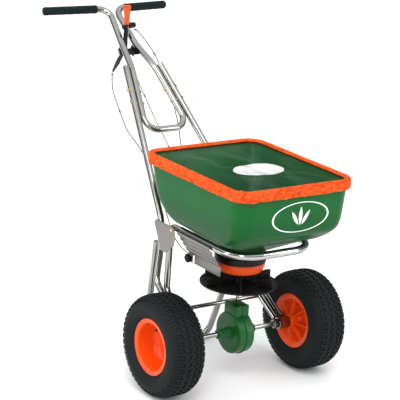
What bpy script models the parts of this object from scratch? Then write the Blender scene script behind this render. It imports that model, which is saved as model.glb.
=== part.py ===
"""Walk-behind broadcast garden spreader, built piece by piece in metres, +Z up.

The layout frame has its origin on the ground under the middle of the axle. +Y points back to the
handle, so the hopper's front faces -Y. The last step moves the whole machine so that the bottom
centre of its bounding box is the world origin.
"""
import math

import bmesh
import bpy
import numpy as np
from mathutils import Matrix, Vector

for old in list(bpy.data.objects):
    bpy.data.objects.remove(old, do_unlink=True)

# ---------------------------------------------------------------- driving sizes
GAP = 0.0003              # between pieces that touch
RUN = 0.0005              # between pieces that turn in each other
WALL = 0.0016             # steel tube wall

TYRE_R = 0.165
TYRE_W = 0.124
TYRE_WALL = 0.007
TRACK = 0.553             # between the wheels' middle planes
RIM_FLANGE_R = 0.091
RIM_HALF_W = 0.050
RIM_SEAT_R = 0.080
HUB_R = 0.020
AXLE_R = 0.008

TUBE_R = 0.011            # rails, handle, struts and stand
LOOP_R = 0.0125           # the loop that carries the hopper
BRACE_R = 0.007
GRIP_R = 0.0145

HOPPER_HX = 0.215         # half width at the rim
HOPPER_FRONT_Y = -0.271   # the rim's front and back
HOPPER_BACK_Y = 0.254
HOPPER_RIM_Z = 0.716
HOPPER_WALL = 0.004
NECK_R = 0.080
NECK_Z = 0.432            # underside of the hopper's floor
HEM_T = 0.0095            # thickness of the gathered hem
HEM_H = 0.035
FILM_T = 0.0012

LOOP_Z = 0.490
LOOP_HX = 0.151
LOOP_FRONT_Y = -0.195
BEARING_R = 0.020
BEARING_LENGTH = 0.043
WHEEL_PLAY = 0.0015       # between a wheel's hub and the bearing housing
HUB_IN = 0.064            # hub's inner end, from the wheel's middle plane
BEARING_X = (TRACK / 2 - HUB_IN - WHEEL_PLAY - BEARING_LENGTH, TRACK / 2 - HUB_IN - WHEEL_PLAY)
STRUT_END_X = BEARING_X[0] + 0.0075
RAIL_END_X = STRUT_END_X + 2 * TUBE_R + 0.001

BOX_R = 0.070             # gearbox
BOX_HALF_T = 0.029
BOX_WALL = 0.004
BOX_TOP_Z = TYRE_R + 0.097
BOX_TOP_X = 0.026
BOX_TOP_HY = 0.033
BOSS_R = 0.017
BOSS_END_X = 0.070
SHAFT_R = 0.005
CROWN_TEETH = 30
PINION_TEETH = 10
CONE = 0.046              # pitch cone distance of the bevel pair
FACE_W = 0.012

SPIN_R = 0.124            # spinner
SPIN_Z = 0.330
FIN_TOP_Z = 0.365
FINS = 6

PORT_R = 0.012            # the three outlets
PORT_AT = 0.050
PLATE_T = 0.003

UP = Vector((0, 0, 1))
XAX = Vector((1, 0, 0))
AXLE = Vector((0, 0, TYRE_R))
BARREL_T = 0.005          # rim barrel wall

# ---------------------------------------------------------------- materials
COLOURS = {
    "steel": ((0.60, 0.60, 0.58), 0.28, 1.0),
    "bright": ((0.75, 0.75, 0.74), 0.15, 1.0),
    "sheet": ((0.33, 0.32, 0.30), 0.55, 0.6),
    "green": ((0.012, 0.15, 0.03), 0.35, 0.0),
    "orange": ((0.85, 0.12, 0.02), 0.40, 0.0),
    "fabric": ((0.90, 0.17, 0.03), 0.75, 0.0),
    "film": ((0.80, 0.82, 0.80), 0.12, 0.0),
    "black": ((0.012, 0.012, 0.013), 0.45, 0.0),
    "foam": ((0.015, 0.02, 0.02), 0.85, 0.0),
    "rubber": ((0.022, 0.026, 0.027), 0.80, 0.0),
    "brass": ((0.72, 0.50, 0.20), 0.30, 1.0),
    "cable": ((0.05, 0.07, 0.07), 0.50, 0.0),
}


def material(kind):
    found = bpy.data.materials.get(kind)
    if found:
        return found
    made = bpy.data.materials.new(kind)
    made.use_nodes = True
    shader = made.node_tree.nodes["Principled BSDF"]
    colour, rough, metal = COLOURS[kind]
    shader.inputs["Base Color"].default_value = (*colour, 1)
    shader.inputs["Roughness"].default_value = rough
    shader.inputs["Metallic"].default_value = metal
    return made


# ---------------------------------------------------------------- bodies and making pieces
ROOT = bpy.data.objects.new("spreader", None)
bpy.context.collection.objects.link(ROOT)


def body(name, at):
    """An empty on a joint's axis that carries one moving body's pieces."""
    empty = bpy.data.objects.new(f"{name}_axis", None)
    bpy.context.collection.objects.link(empty)
    empty.parent = ROOT
    empty.location = at
    return empty


def add(name, verts, faces, kind, parent=None, smooth=35):
    """A mesh object from world-frame vertices, placed under its body's empty."""
    parent = parent or ROOT
    base = Vector(parent.location)
    mesh = bpy.data.meshes.new(name)
    mesh.from_pydata([Vector(v) - base for v in verts], [], faces)
    work = bmesh.new()
    work.from_mesh(mesh)
    bmesh.ops.remove_doubles(work, verts=work.verts, dist=1e-6)
    bmesh.ops.recalc_face_normals(work, faces=work.faces)
    work.to_mesh(mesh)
    work.free()
    mesh.shade_smooth()
    mesh.set_sharp_from_angle(angle=math.radians(smooth))
    mesh.materials.append(material(kind))
    piece = bpy.data.objects.new(name, mesh)
    bpy.context.collection.objects.link(piece)
    piece.parent = parent
    return piece


def boolean(piece, tool, operation="DIFFERENCE"):
    """Cut or join a piece with another object, which stays as a hidden guide."""
    tool.hide_render = True
    tool.display_type = "WIRE"
    step = piece.modifiers.new(operation.lower(), "BOOLEAN")
    step.operation = operation
    step.solver = "EXACT"
    step.object = tool
    return piece


def frame_of(direction):
    """Two unit vectors square to a direction."""
    direction = Vector(direction).normalized()
    other = UP if abs(direction.z) < 0.9 else XAX
    side = direction.cross(other).normalized()
    return side, side.cross(direction).normalized()


def lathe(profile, start, axis, segments=24):
    """Vertices and faces of a closed (along, radius) profile turned about an axis."""
    axis = Vector(axis).normalized()
    side, over = frame_of(axis)
    verts = []
    faces = []
    count = len(profile)
    for step in range(segments):
        turn = 2 * math.pi * step / segments
        out = side * math.cos(turn) + over * math.sin(turn)
        verts += [Vector(start) + axis * along + out * radius for along, radius in profile]
    for step in range(segments):
        here = step * count
        there = (step + 1) % segments * count
        for k in range(count):
            n = (k + 1) % count
            if profile[k][1] < 1e-9 and profile[n][1] < 1e-9:
                continue
            faces.append((here + k, here + n, there + n, there + k))
    return verts, faces


def rod(start, end, radius, segments=16, bore=0.0):
    """A straight rod, or a straight tube where it has a bore."""
    length = (Vector(end) - Vector(start)).length
    profile = [(0, bore), (0, radius), (length, radius), (length, bore)]
    return lathe(profile, start, Vector(end) - Vector(start), segments)


def block(low, high):
    x, y, z = zip(low, high)
    verts = [(x[i], y[j], z[k]) for i in (0, 1) for j in (0, 1) for k in (0, 1)]
    faces = [(0, 1, 3, 2), (4, 6, 7, 5), (0, 4, 5, 1), (2, 3, 7, 6), (0, 2, 6, 4), (1, 5, 7, 3)]
    return verts, faces


def prism(outline, shift):
    """A flat outline of 3-D points pushed along a vector."""
    count = len(outline)
    verts = [Vector(p) for p in outline] + [Vector(p) + Vector(shift) for p in outline]
    faces = [tuple(range(count)), tuple(range(2 * count - 1, count - 1, -1))]
    faces += [(k, (k + 1) % count, (k + 1) % count + count, k + count) for k in range(count)]
    return verts, faces


def merged(*shapes):
    verts = []
    faces = []
    for part_verts, part_faces in shapes:
        base = len(verts)
        verts += list(part_verts)
        faces += [tuple(base + i for i in face) for face in part_faces]
    return verts, faces


def bent(points, radii, per_bend=4):
    """A polyline whose inner corners are rounded, to one bend radius or to one each."""
    points = [Vector(p) for p in points]
    path = [points[0]]
    if isinstance(radii, float):
        radii = [radii] * (len(points) - 2)
    for before, corner, after, radius in zip(points, points[1:], points[2:], radii):
        back = (before - corner).normalized()
        ahead = (after - corner).normalized()
        half = back.angle(ahead) / 2
        room = 0.49 * min((before - corner).length, (after - corner).length)
        reach = min(radius / math.tan(half), room)
        bend = reach * math.tan(half)
        middle = corner + (back + ahead).normalized() * bend / math.sin(half)
        first = corner + back * reach - middle
        last = corner + ahead * reach - middle
        sweep = first.angle(last)
        steps = max(1, round(per_bend * sweep / (math.pi / 2)))
        for k in range(steps + 1):
            t = k / steps
            a = math.sin((1 - t) * sweep) / math.sin(sweep)
            b = math.sin(t * sweep) / math.sin(sweep)
            path.append(middle + first * a + last * b)
    path.append(points[-1])
    return path


def sweep_tube(path, radius, bore, sides=8):
    """A tube along a path, with rings turned as little as possible from one to the next."""
    path = [Vector(p) for p in path]
    tangents = []
    for k, here in enumerate(path):
        before = path[max(k - 1, 0)]
        after = path[min(k + 1, len(path) - 1)]
        into = (here - before).normalized() if k else (after - here).normalized()
        out = (after - here).normalized() if k < len(path) - 1 else into
        tangents.append((into + out).normalized())
    side, over = frame_of(tangents[0])
    rings = []
    for k, here in enumerate(path):
        if k:
            turn = tangents[k - 1].rotation_difference(tangents[k])
            side = turn @ side
        side = (side - tangents[k] * side.dot(tangents[k])).normalized()
        over = tangents[k].cross(side)
        stretch = 1.0
        plane = tangents[k]
        if 0 < k < len(path) - 1:
            run = (here - path[k - 1]).normalized()
            stretch = 1 / max(run.dot(plane), 0.5)
            bend_dir = (run - plane * run.dot(plane))
        for size in (radius, bore):
            for s in range(sides):
                a = 2 * math.pi * s / sides
                off = side * math.cos(a) * size + over * math.sin(a) * size
                if stretch > 1.0001:
                    lean = bend_dir.normalized()
                    off += lean * off.dot(lean) * (stretch - 1)
                rings.append(here + off)
    faces = []
    per = 2 * sides
    for k in range(len(path) - 1):
        for s in range(sides):
            n = (s + 1) % sides
            a = k * per
            b = a + per
            faces.append((a + s, a + n, b + n, b + s))
            faces.append((a + sides + n, a + sides + s, b + sides + s, b + sides + n))
    for a in (0, (len(path) - 1) * per):
        for s in range(sides):
            n = (s + 1) % sides
            faces.append((a + s, a + sides + s, a + sides + n, a + n))
    return rings, faces


def tube(name, path, radius, kind="steel", wall=WALL, sides=8, parent=None):
    return add(name, *sweep_tube(path, radius, radius - wall, sides), kind, parent)


def cable(name, points, radius, parent=None):
    """A curve tube through a smooth line of route points."""
    points = [Vector(p) for p in points]
    ends = [2 * points[0] - points[1]] + points + [2 * points[-1] - points[-2]]
    line = []
    for a, b, c, d in zip(ends, ends[1:], ends[2:], ends[3:]):
        steps = max(2, round((c - b).length / 0.030))
        for k in range(steps):
            t = k / steps
            line.append(0.5 * (2 * b + (c - a) * t + (2 * a - 5 * b + 4 * c - d) * t * t
                               + (3 * b - a - 3 * c + d) * t ** 3))
    line.append(points[-1])
    curve = bpy.data.curves.new(name, "CURVE")
    curve.dimensions = "3D"
    curve.bevel_depth = radius
    curve.bevel_resolution = 1
    curve.use_fill_caps = True
    curve.render_resolution_u = 0
    spline = curve.splines.new("POLY")
    spline.points.add(len(line) - 1)
    for point, place in zip(spline.points, line):
        point.co = (*place, 1)
    curve.materials.append(material("cable"))
    piece = bpy.data.objects.new(name, curve)
    bpy.context.collection.objects.link(piece)
    piece.parent = parent or ROOT
    return piece


def flip(point, side):
    """The same point on one side of the machine: side is -1 or +1."""
    return Vector((point[0] * side, point[1], point[2]))


SIDES = (("left", 1), ("right", -1))      # as the operator sees them


# ---------------------------------------------------------------- upper frame
RAIL_TOP = (0.068, 0.628, 0.910)
RAIL_KNEE = (0.161, 0.223, 0.497)
RAIL_LOW = (0.162, 0.216, 0.400)
RAIL_HIP = (0.183, 0.200, 0.300)
RAIL_BEND = 0.045
WELD_REACH = BEARING_R + 2 * GAP
LEG_SIDE = (-0.0235, 0.002, -0.002)               # the way from a rail to the handle leg beside it
LEG_GAP = 0.0015
HANDLE_BENDS = (0.043, 0.200, 0.200, 0.045)       # from the grip down to the loop
LEG_HIGH = (0.027, 0.722, 0.962)
GRIP_CORNER = (0.012, 0.846, 1.065)
GRIP_IN = 0.044                                   # from the corner to the grip's inner end
GRIP_END = (0.243, 0.890, 1.060)
U_Z = 0.730
BOLT_R = 0.003
BOLT_HEAD_R = 0.0062
BOLT_HEAD_T = 0.004


def bearing_end(before, x, reach):
    """Stop a tube that aims at a bearing housing where its end's nearest edge is `reach` from the axle."""
    aim = Vector((x, 0, TYRE_R))
    back = (Vector(before) - aim).normalized()
    return aim + back * (reach + TUBE_R * abs(back.x)) / math.sqrt(1 - back.x ** 2)


def toward(a, b, share):
    return Vector(a).lerp(Vector(b), share)


def bolt(name, start, through, kind="brass", parent=None, shank=BOLT_R):
    """A bolt with its nut: the head sits before the start, the nut after the far end."""
    length = Vector(through).length
    profile = [(-BOLT_HEAD_T, 0), (-BOLT_HEAD_T, BOLT_HEAD_R), (0, BOLT_HEAD_R), (0, shank),
               (length, shank), (length, BOLT_HEAD_R), (length + BOLT_HEAD_T, BOLT_HEAD_R),
               (length + BOLT_HEAD_T, shank), (length + 1.6 * BOLT_HEAD_T, shank),
               (length + 1.6 * BOLT_HEAD_T, 0)]
    return add(name, *lathe(profile, start, through, 8), kind, parent)


def hole(name, start, through, radius=BOLT_R + GAP, over=0.02):
    """A round cutter that runs past both ends of a line."""
    along = Vector(through).normalized() * over
    return add(name, *rod(Vector(start) - along, Vector(start) + Vector(through) + along, radius, 12),
               "steel")


rails = {}
for word, s in SIDES:
    last = bearing_end(RAIL_HIP, RAIL_END_X, WELD_REACH)
    route = [flip(p, s) for p in (RAIL_TOP, RAIL_KNEE, RAIL_LOW, RAIL_HIP, last)]
    rails[word] = tube(f"{word}_rail", bent(route, RAIL_BEND), TUBE_R)

rail_run = (Vector(RAIL_KNEE) - Vector(RAIL_TOP)).normalized()
leg_offset = Vector(LEG_SIDE)
leg_offset -= rail_run * leg_offset.dot(rail_run)
leg_offset = leg_offset.normalized() * (2 * TUBE_R + LEG_GAP)
leg_top = Vector(RAIL_TOP) + leg_offset
u_corner = leg_top + rail_run * ((leg_top.z - U_Z) / -rail_run.z)
half = [GRIP_END, GRIP_CORNER, LEG_HIGH, leg_top, u_corner]
handle_route = [flip(p, -1) for p in half] + [Vector(p) for p in reversed(half)]
handle = tube("handle_tube", bent(handle_route, HANDLE_BENDS + HANDLE_BENDS[::-1]), TUBE_R)

grip_axis = (Vector(GRIP_END) - Vector(GRIP_CORNER)).normalized()
grip_from = Vector(GRIP_CORNER) + grip_axis * GRIP_IN
grip_len = (Vector(GRIP_END) - grip_from).length
for word, s in SIDES:
    bore = TUBE_R + GAP
    outline = [(0, bore), (0, GRIP_R), (grip_len + 0.004, GRIP_R), (grip_len + 0.004, 0),
               (grip_len + GAP, 0), (grip_len + GAP, bore)]
    add(f"{word}_grip", *lathe(outline, flip(grip_from, s), flip(grip_axis, s), 16), "foam")

for level, z in (("upper", 0.843), ("lower", 0.810)):
    for word, s in SIDES:
        at_rail = Vector(RAIL_TOP) + rail_run * ((RAIL_TOP[2] - z) / -rail_run.z)
        push = leg_offset.normalized()
        edge = TUBE_R + GAP
        start = flip(at_rail - push * edge, s)
        through = flip(leg_offset + push * 2 * edge, s)
        bolt(f"{word}_handle_bolt_{level}", start, through)
        cutter = hole(f"cut_{word}_{level}", start, through)
        boolean(rails[word], cutter)
        boolean(handle, cutter)

# ---------------------------------------------------------------- lower frame
LOOP_JOIN_Y = 0.120
STRUT_TOP = (LOOP_HX, 0.181, LOOP_Z)
STRUT_HIP = (0.160, 0.171, 0.275)
STAND_Y = RAIL_LOW[1] + 2 * TUBE_R + 0.0025       # the stand's legs lie behind the rails
STAND_TOP = (0.1625, STAND_Y, 0.420)
STAND_KNEE = (0.165, STAND_Y + 0.0035, 0.340)
STAND_FOOT = (0.130, 0.335, TUBE_R)
BRACE_Y = 0.100
GUSSET_T = 0.002
GUSSET_X = RAIL_LOW[0] + TUBE_R + 2 * GAP
GUSSET_YZ = ((0.243, 0.488), (0.230, 0.500), (0.130, 0.500), (0.118, 0.474), (0.124, 0.440),
             (0.165, 0.405), (0.196, 0.405), (0.229, 0.463))
GUSSET_BOLT = (0.138, LOOP_Z)

corner_y = LOOP_FRONT_Y
loop_route = [(-LOOP_HX, LOOP_JOIN_Y, LOOP_Z), (-LOOP_HX, corner_y, LOOP_Z),
              (LOOP_HX, corner_y, LOOP_Z), (LOOP_HX, LOOP_JOIN_Y, LOOP_Z)]
tube("hopper_loop", bent(loop_route, 0.090, 6), LOOP_R, "bright")

strut_end = bearing_end(STRUT_HIP, STRUT_END_X, WELD_REACH)
for word, s in SIDES:
    route = [(LOOP_HX, LOOP_JOIN_Y + GAP, LOOP_Z), STRUT_TOP, STRUT_HIP, strut_end]
    strut = tube(f"{word}_strut", bent([flip(p, s) for p in route], 0.030, 4), TUBE_R)
    low_x = GUSSET_X * s
    plate = prism([(low_x, y, z) for y, z in GUSSET_YZ], (GUSSET_T * s, 0, 0))
    gusset = add(f"{word}_gusset", *plate, "sheet")
    start = Vector(((GUSSET_X + GUSSET_T + GAP) * s, *GUSSET_BOLT))
    through = Vector((-(GUSSET_X + GUSSET_T + 2 * GAP - LOOP_HX + TUBE_R) * s, 0, 0))
    bolt(f"{word}_gusset_bolt", start, through)
    cutter = hole(f"cut_{word}_gusset", start, through)
    boolean(strut, cutter)
    boolean(gusset, cutter)
    housing = rod((BEARING_X[0] * s, 0, TYRE_R), (BEARING_X[1] * s, 0, TYRE_R), BEARING_R, 24,
                  AXLE_R + RUN)
    add(f"{word}_bearing", *housing, "steel")

stand_half = [STAND_TOP, STAND_KNEE, STAND_FOOT]
stand_route = [flip(p, -1) for p in stand_half] + [Vector(p) for p in reversed(stand_half)]
tube("stand", bent(stand_route, 0.050), TUBE_R)

share = (STRUT_HIP[1] - BRACE_Y) / STRUT_HIP[1]
brace_at = toward(STRUT_HIP, (STRUT_END_X, 0, TYRE_R), share)
lean = (brace_at - Vector(STRUT_HIP)).normalized().x      # the strut runs out sideways by this much
brace_x = brace_at.x - (TUBE_R + BRACE_R * lean) / math.sqrt(1 - lean ** 2) - 2 * GAP
add("cross_tube", *rod((-brace_x, BRACE_Y, brace_at.z), (brace_x, BRACE_Y, brace_at.z), BRACE_R,
                       12, BRACE_R - WALL), "steel")

# ---------------------------------------------------------------- wheels and axle
axle_body = body("drive_axle", AXLE)
coast_body = body("coast_wheel", AXLE)
HUB_OUT = 0.0125
CAP_T = 0.006
WHEEL_SIDES = 28          # a flat side of the tyre rests on the ground
AXLE_END = TRACK / 2 - HUB_OUT + CAP_T + 0.003


def wheel(prefix, s, parent):
    """A one-piece dished rim and a hollow tubeless tyre, round from bead to bead and back inside."""
    middle = Vector((s * TRACK / 2, 0, TYRE_R))
    out = Vector((s, 0, 0))
    w = RIM_HALF_W
    inner = RIM_SEAT_R - BARREL_T
    rim = [(-HUB_IN, AXLE_R + RUN), (-HUB_IN, HUB_R), (-0.030, HUB_R + 0.002), (-0.024, inner - 0.009),
           (-w + 0.005, inner), (-w, RIM_FLANGE_R), (-w + 0.003, RIM_FLANGE_R),
           (-w + 0.004, RIM_SEAT_R), (w - 0.004, RIM_SEAT_R), (w - 0.003, RIM_FLANGE_R),
           (w, RIM_FLANGE_R), (w, RIM_FLANGE_R - 0.003), (w - 0.003, inner), (-0.018, inner - 0.004),
           (-HUB_OUT - 0.004, HUB_R + 0.004), (-HUB_OUT, HUB_R), (-HUB_OUT, AXLE_R + RUN)]
    half_step = Matrix.Rotation(math.pi / WHEEL_SIDES, 3, "X")
    verts, faces = lathe(rim, middle, out, WHEEL_SIDES)
    hub = add(f"{prefix}_rim", [half_step @ (v - middle) + middle for v in verts], faces, "orange", parent)
    bead = w - 0.004 - GAP
    seat = RIM_SEAT_R + GAP
    half_w = TYRE_W / 2
    shell = [(bead, seat), (bead, RIM_FLANGE_R + 0.001), (half_w - 0.004, 0.108), (half_w, 0.128),
             (half_w - 0.006, 0.149), (half_w - 0.024, TYRE_R - 0.0025), (0.015, TYRE_R)]
    t = TYRE_WALL
    lining = [(half_w - 0.030, TYRE_R - t), (half_w - 0.013, 0.146), (half_w - t, 0.128),
              (bead - t, RIM_FLANGE_R + 0.003), (bead - t, seat)]
    outer = shell + [(-x, r) for x, r in reversed(shell)]
    inside = [(-x, r) for x, r in reversed(lining)] + lining
    flat = math.cos(math.pi / WHEEL_SIDES)
    outer = [(x, r / flat if r > TYRE_R - 0.003 else r) for x, r in outer]
    verts, faces = lathe(outer + inside, middle, out, WHEEL_SIDES)
    add(f"{prefix}_tyre", [half_step @ (v - middle) + middle for v in verts], faces, "rubber", parent)
    valve = lathe([(0, 0), (0, 0.004), (0.016, 0.003), (0.024, 0.003), (0.024, 0)],
                  middle + Vector((s * 0.020, 0, inner - 0.0036)), (s * 0.5, 0, -1), 10)
    add(f"{prefix}_valve", *valve, "black", parent)
    return hub


drive_rim = wheel("drive_wheel", -1, axle_body)
wheel("coast_wheel", 1, coast_body)

axle = add("axle", *rod((-AXLE_END, 0, TYRE_R), (AXLE_END, 0, TYRE_R), AXLE_R, 20), "steel", axle_body)
for word, s in SIDES:
    outer = BEARING_X[0] - 0.002
    collar = rod(((outer - 0.014) * s, 0, TYRE_R), (outer * s, 0, TYRE_R), 0.015, 20, AXLE_R + GAP)
    add(f"{word}_axle_collar", *collar, "bright", axle_body)
    hub_face = TRACK / 2 - HUB_OUT + 0.001
    cap = rod((hub_face * s, 0, TYRE_R), ((hub_face + CAP_T) * s, 0, TYRE_R), 0.013, 20, AXLE_R + GAP)
    add(f"{word}_axle_cap", *cap, "bright", axle_body)

pin_x = -(TRACK / 2 - 0.048)
pin_half = HUB_R + 0.003
pin_start = Vector((pin_x, -pin_half, TYRE_R))
add("drive_pin", *rod(pin_start, pin_start + Vector((0, 2 * pin_half, 0)), 0.0025, 12), "bright", axle_body)
pin_hole = hole("cut_drive_pin", pin_start, (0, 2 * pin_half, 0), 0.0025 + GAP)
boolean(axle, pin_hole)
boolean(drive_rim, pin_hole)

# ---------------------------------------------------------------- gearbox
CAVITY_R = BOX_R - BOX_WALL - 0.002
for word, s in SIDES:
    near = GAP / 2
    shell = [(near, 0), (near, BOX_R + 0.003), (0.003, BOX_R + 0.003), (0.0032, BOX_R),
             (BOX_HALF_T - 0.004, BOX_R), (BOX_HALF_T, BOX_R - 0.005), (BOX_HALF_T, 0)]
    half_box = add(f"gearbox_{word}_half", *lathe(shell, AXLE, (s, 0, 0), 32), "green")
    near_x, far_x = sorted(((near + 0.0002) * s, BOX_TOP_X * s))
    top = block((near_x, -BOX_TOP_HY, TYRE_R + 0.040), (far_x, BOX_TOP_HY, BOX_TOP_Z))
    boolean(half_box, add(f"guide_top_{word}", *top, "green"), "UNION")
    drill = rod((0, 0, TYRE_R + 0.015), (0, 0, BOX_TOP_Z + 0.01), SHAFT_R + RUN, 14)
    boolean(half_box, add(f"cut_shaft_{word}", *drill, "green"))
    boss = rod(((BOX_HALF_T - 0.006) * s, 0, TYRE_R), (BOSS_END_X * s, 0, TYRE_R), BOSS_R, 20)
    boolean(half_box, add(f"guide_boss_{word}", *boss, "green"), "UNION")
    hollow = rod((-0.001 * s, 0, TYRE_R), ((BOX_HALF_T - BOX_WALL) * s, 0, TYRE_R), CAVITY_R, 32)
    boolean(half_box, add(f"cut_cavity_{word}", *hollow, "green"))
    bore = rod((-0.01 * s, 0, TYRE_R), (0.09 * s, 0, TYRE_R), AXLE_R + RUN, 20)
    boolean(half_box, add(f"cut_axle_{word}", *bore, "green"))
seal = rod((0, 0, BOX_TOP_Z + GAP), (0, 0, BOX_TOP_Z + 0.011), 0.010, 16, SHAFT_R + RUN)
add("shaft_seal", *seal, "green")


def bevel_gear(teeth, pitch_angle, apex, axis, bore, back):
    """A straight bevel gear: tooth tips and roots lie on two cones that meet at the apex."""
    axis = Vector(axis).normalized()
    side, over = frame_of(axis)
    module = 2 * CONE * math.sin(pitch_angle) / teeth
    tip = math.atan(0.60 * module / CONE)
    root = math.atan(1.15 * module / CONE)
    rings = []
    for cone in (CONE, CONE - FACE_W):
        ring = []
        for k in range(teeth):
            for share, lean in ((0.0, -root), (0.16, tip), (0.34, tip), (0.50, -root)):
                turn = 2 * math.pi * (k + share) / teeth
                angle = pitch_angle + lean
                out = side * math.cos(turn) + over * math.sin(turn)
                ring.append(Vector(apex) + (axis * math.cos(angle) + out * math.sin(angle)) * cone)
        rings.append(ring)
    count = len(rings[0])
    flat = Vector(apex) + axis * (CONE * math.cos(pitch_angle - root) + back)
    hub = []
    for ring_at in ("back", "front"):
        for k in range(count):
            out = rings[0][k] - Vector(apex)
            out = (out - axis * out.dot(axis)).normalized()
            if ring_at == "back":
                hub.append(flat + out * bore)
            else:
                depth = (CONE - FACE_W) * math.cos(pitch_angle + tip)
                hub.append(Vector(apex) + axis * depth + out * bore)
    loops = [hub[:count], rings[0], rings[1], hub[count:]]
    verts = [v for loop in loops for v in loop]
    faces = []
    for a in range(len(loops)):
        b = (a + 1) % len(loops)
        for k in range(count):
            n = (k + 1) % count
            faces.append((a * count + k, a * count + n, b * count + n, b * count + k))
    return verts, faces


spin_body = body("spinner", (0, 0, 0))
crown_angle = math.atan(CROWN_TEETH / PINION_TEETH)
pinion_angle = math.pi / 2 - crown_angle
crown = bevel_gear(CROWN_TEETH, crown_angle, AXLE, (-1, 0, 0), AXLE_R + GAP, 0.004)
add("crown_gear", *crown, "steel", axle_body)
pinion = bevel_gear(PINION_TEETH, pinion_angle, AXLE, UP, SHAFT_R + GAP, 0.004)
add("pinion", *pinion, "steel", spin_body)

# ---------------------------------------------------------------- spinner
SHAFT_TOP = 0.472
HUB_TOP = FIN_TOP_Z
SPIN_HUB_R = 0.018
shaft = add("spinner_shaft", *rod((0, 0, TYRE_R + AXLE_R + 0.012), (0, 0, SHAFT_TOP), SHAFT_R, 14),
            "steel", spin_body)
profile = [(0, SHAFT_R + GAP), (0, SPIN_R), (0.004, SPIN_R + 0.002), (0.006, SPIN_R),
           (0.006, SPIN_HUB_R), (HUB_TOP - SPIN_Z - 0.012, SPIN_HUB_R - 0.004),
           (HUB_TOP - SPIN_Z - 0.012, SHAFT_R + GAP)]
disc = add("spinner_disc", *lathe(profile, (0, 0, SPIN_Z), UP, 28), "black", spin_body)
fins = []
for k in range(FINS):
    turn = Matrix.Rotation(2 * math.pi * k / FINS, 3, "Z")
    rake = Matrix.Rotation(math.radians(12), 3, "Z")
    outline = [(0.011, SPIN_Z + 0.003), (SPIN_R - 0.002, SPIN_Z + 0.003), (SPIN_R - 0.002, FIN_TOP_Z),
               (SPIN_R - 0.030, FIN_TOP_Z - 0.004), (0.045, SPIN_Z + 0.024), (0.011, SPIN_Z + 0.030)]
    points = [turn @ (rake @ Vector((r - 0.02, -0.002, z)) + Vector((0.02, 0, 0)))
              for r, z in outline]
    shift = turn @ (rake @ Vector((0, 0.004, 0)))
    fins.append(prism(points, shift))
boolean(disc, add("guide_fins", *merged(*fins), "black", spin_body), "UNION")
bore_guide = add("cut_spinner_bore", *rod((0, 0, SPIN_Z - 0.01), (0, 0, HUB_TOP), SHAFT_R + GAP, 16),
                 "black", spin_body)
boolean(disc, bore_guide)
pin_z = SPIN_Z + 0.014
clip = rod((-0.019, 0, pin_z), (0.019, 0, pin_z), 0.0018, 10)
add("spinner_pin", *clip, "bright", spin_body)
clip_hole = add("cut_spinner_pin", *rod((-0.03, 0, pin_z), (0.03, 0, pin_z), 0.0018 + GAP, 10),
                "bright", spin_body)
boolean(disc, clip_hole)
boolean(shaft, clip_hole)

sleeve = add("agitator", *rod((0, 0, SHAFT_TOP - 0.022), (0, 0, SHAFT_TOP - 0.004), 0.010, 16,
                              SHAFT_R + GAP), "bright", spin_body)
arms = [rod((s * 0.008, 0, SHAFT_TOP - 0.013), (s * 0.052, 0, SHAFT_TOP - 0.013 + s * 0.006), 0.0025, 8)
        for s in (-1, 1)]
boolean(sleeve, add("guide_arms", *merged(*arms), "bright", spin_body), "UNION")

# ---------------------------------------------------------------- hopper and outlets
CORNER_SEGS = 4


def rounded(z, hx, front, back, radius):
    """One level ring of a rounded rectangle, anticlockwise from above."""
    ring = []
    for quarter, (sx, end) in enumerate(((1, back), (-1, back), (-1, front), (1, front))):
        inset = radius if end == front else -radius
        for k in range(CORNER_SEGS + 1):
            a = math.pi / 2 * (quarter + k / CORNER_SEGS)
            ring.append((sx * (hx - radius) + radius * math.cos(a),
                         end + inset + radius * math.sin(a), z))
    return ring


def loft(rings, closed=False):
    """Skin a stack of rings; an open stack gets a cap at each end."""
    count = len(rings[0])
    verts = [v for ring in rings for v in ring]
    faces = []
    pairs = len(rings) if closed else len(rings) - 1
    for a in range(pairs):
        b = (a + 1) % len(rings)
        for k in range(count):
            n = (k + 1) % count
            faces.append((a * count + k, a * count + n, b * count + n, b * count + k))
    if not closed:
        faces.append(tuple(range(count)))
        faces.append(tuple(range(len(verts) - 1, len(verts) - count - 1, -1)))
    return verts, faces


NECK_TOP_Z = 0.458
NECK_IN = NECK_R - 0.002
LEVELS = ((NECK_Z, NECK_R, -NECK_R, NECK_R, NECK_IN),
          (NECK_TOP_Z, NECK_R + 0.003, -NECK_R - 0.003, NECK_R + 0.003, NECK_R),
          (0.506, 0.150, -0.1685, 0.138, 0.055), (0.530, 0.188, -0.2165, 0.165, 0.055),
          (0.565, 0.200, -0.2555, 0.200, 0.052), (0.600, 0.206, -0.266, 0.220, 0.050),
          (HOPPER_RIM_Z, HOPPER_HX, HOPPER_FRONT_Y, HOPPER_BACK_Y, 0.050))
outside = [rounded(*level) for level in LEVELS]
t = HOPPER_WALL
inside = [rounded(z + (t if k == 0 else 0.6 * t if k < 4 else 0), hx - t, front + t, back - t, r - t)
          for k, (z, hx, front, back, r) in enumerate(LEVELS)]
hopper = add("hopper", *loft(outside + inside[::-1]), "green")
port_angles = [math.radians(a) for a in (-150, -90, -30)]


def ports(turn):
    """Cutters for the three outlets, turned with the plate that carries them."""
    pegs = [rod((PORT_AT * math.cos(a + turn), PORT_AT * math.sin(a + turn), 0.37),
                (PORT_AT * math.cos(a + turn), PORT_AT * math.sin(a + turn), 0.45), PORT_R, 14)
            for a in port_angles]
    return merged(*pegs, rod((0, 0, 0.37), (0, 0, 0.45), SHAFT_R + 2 * RUN, 14))


boolean(hopper, add("cut_hopper_ports", *ports(0), "green"))

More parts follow.
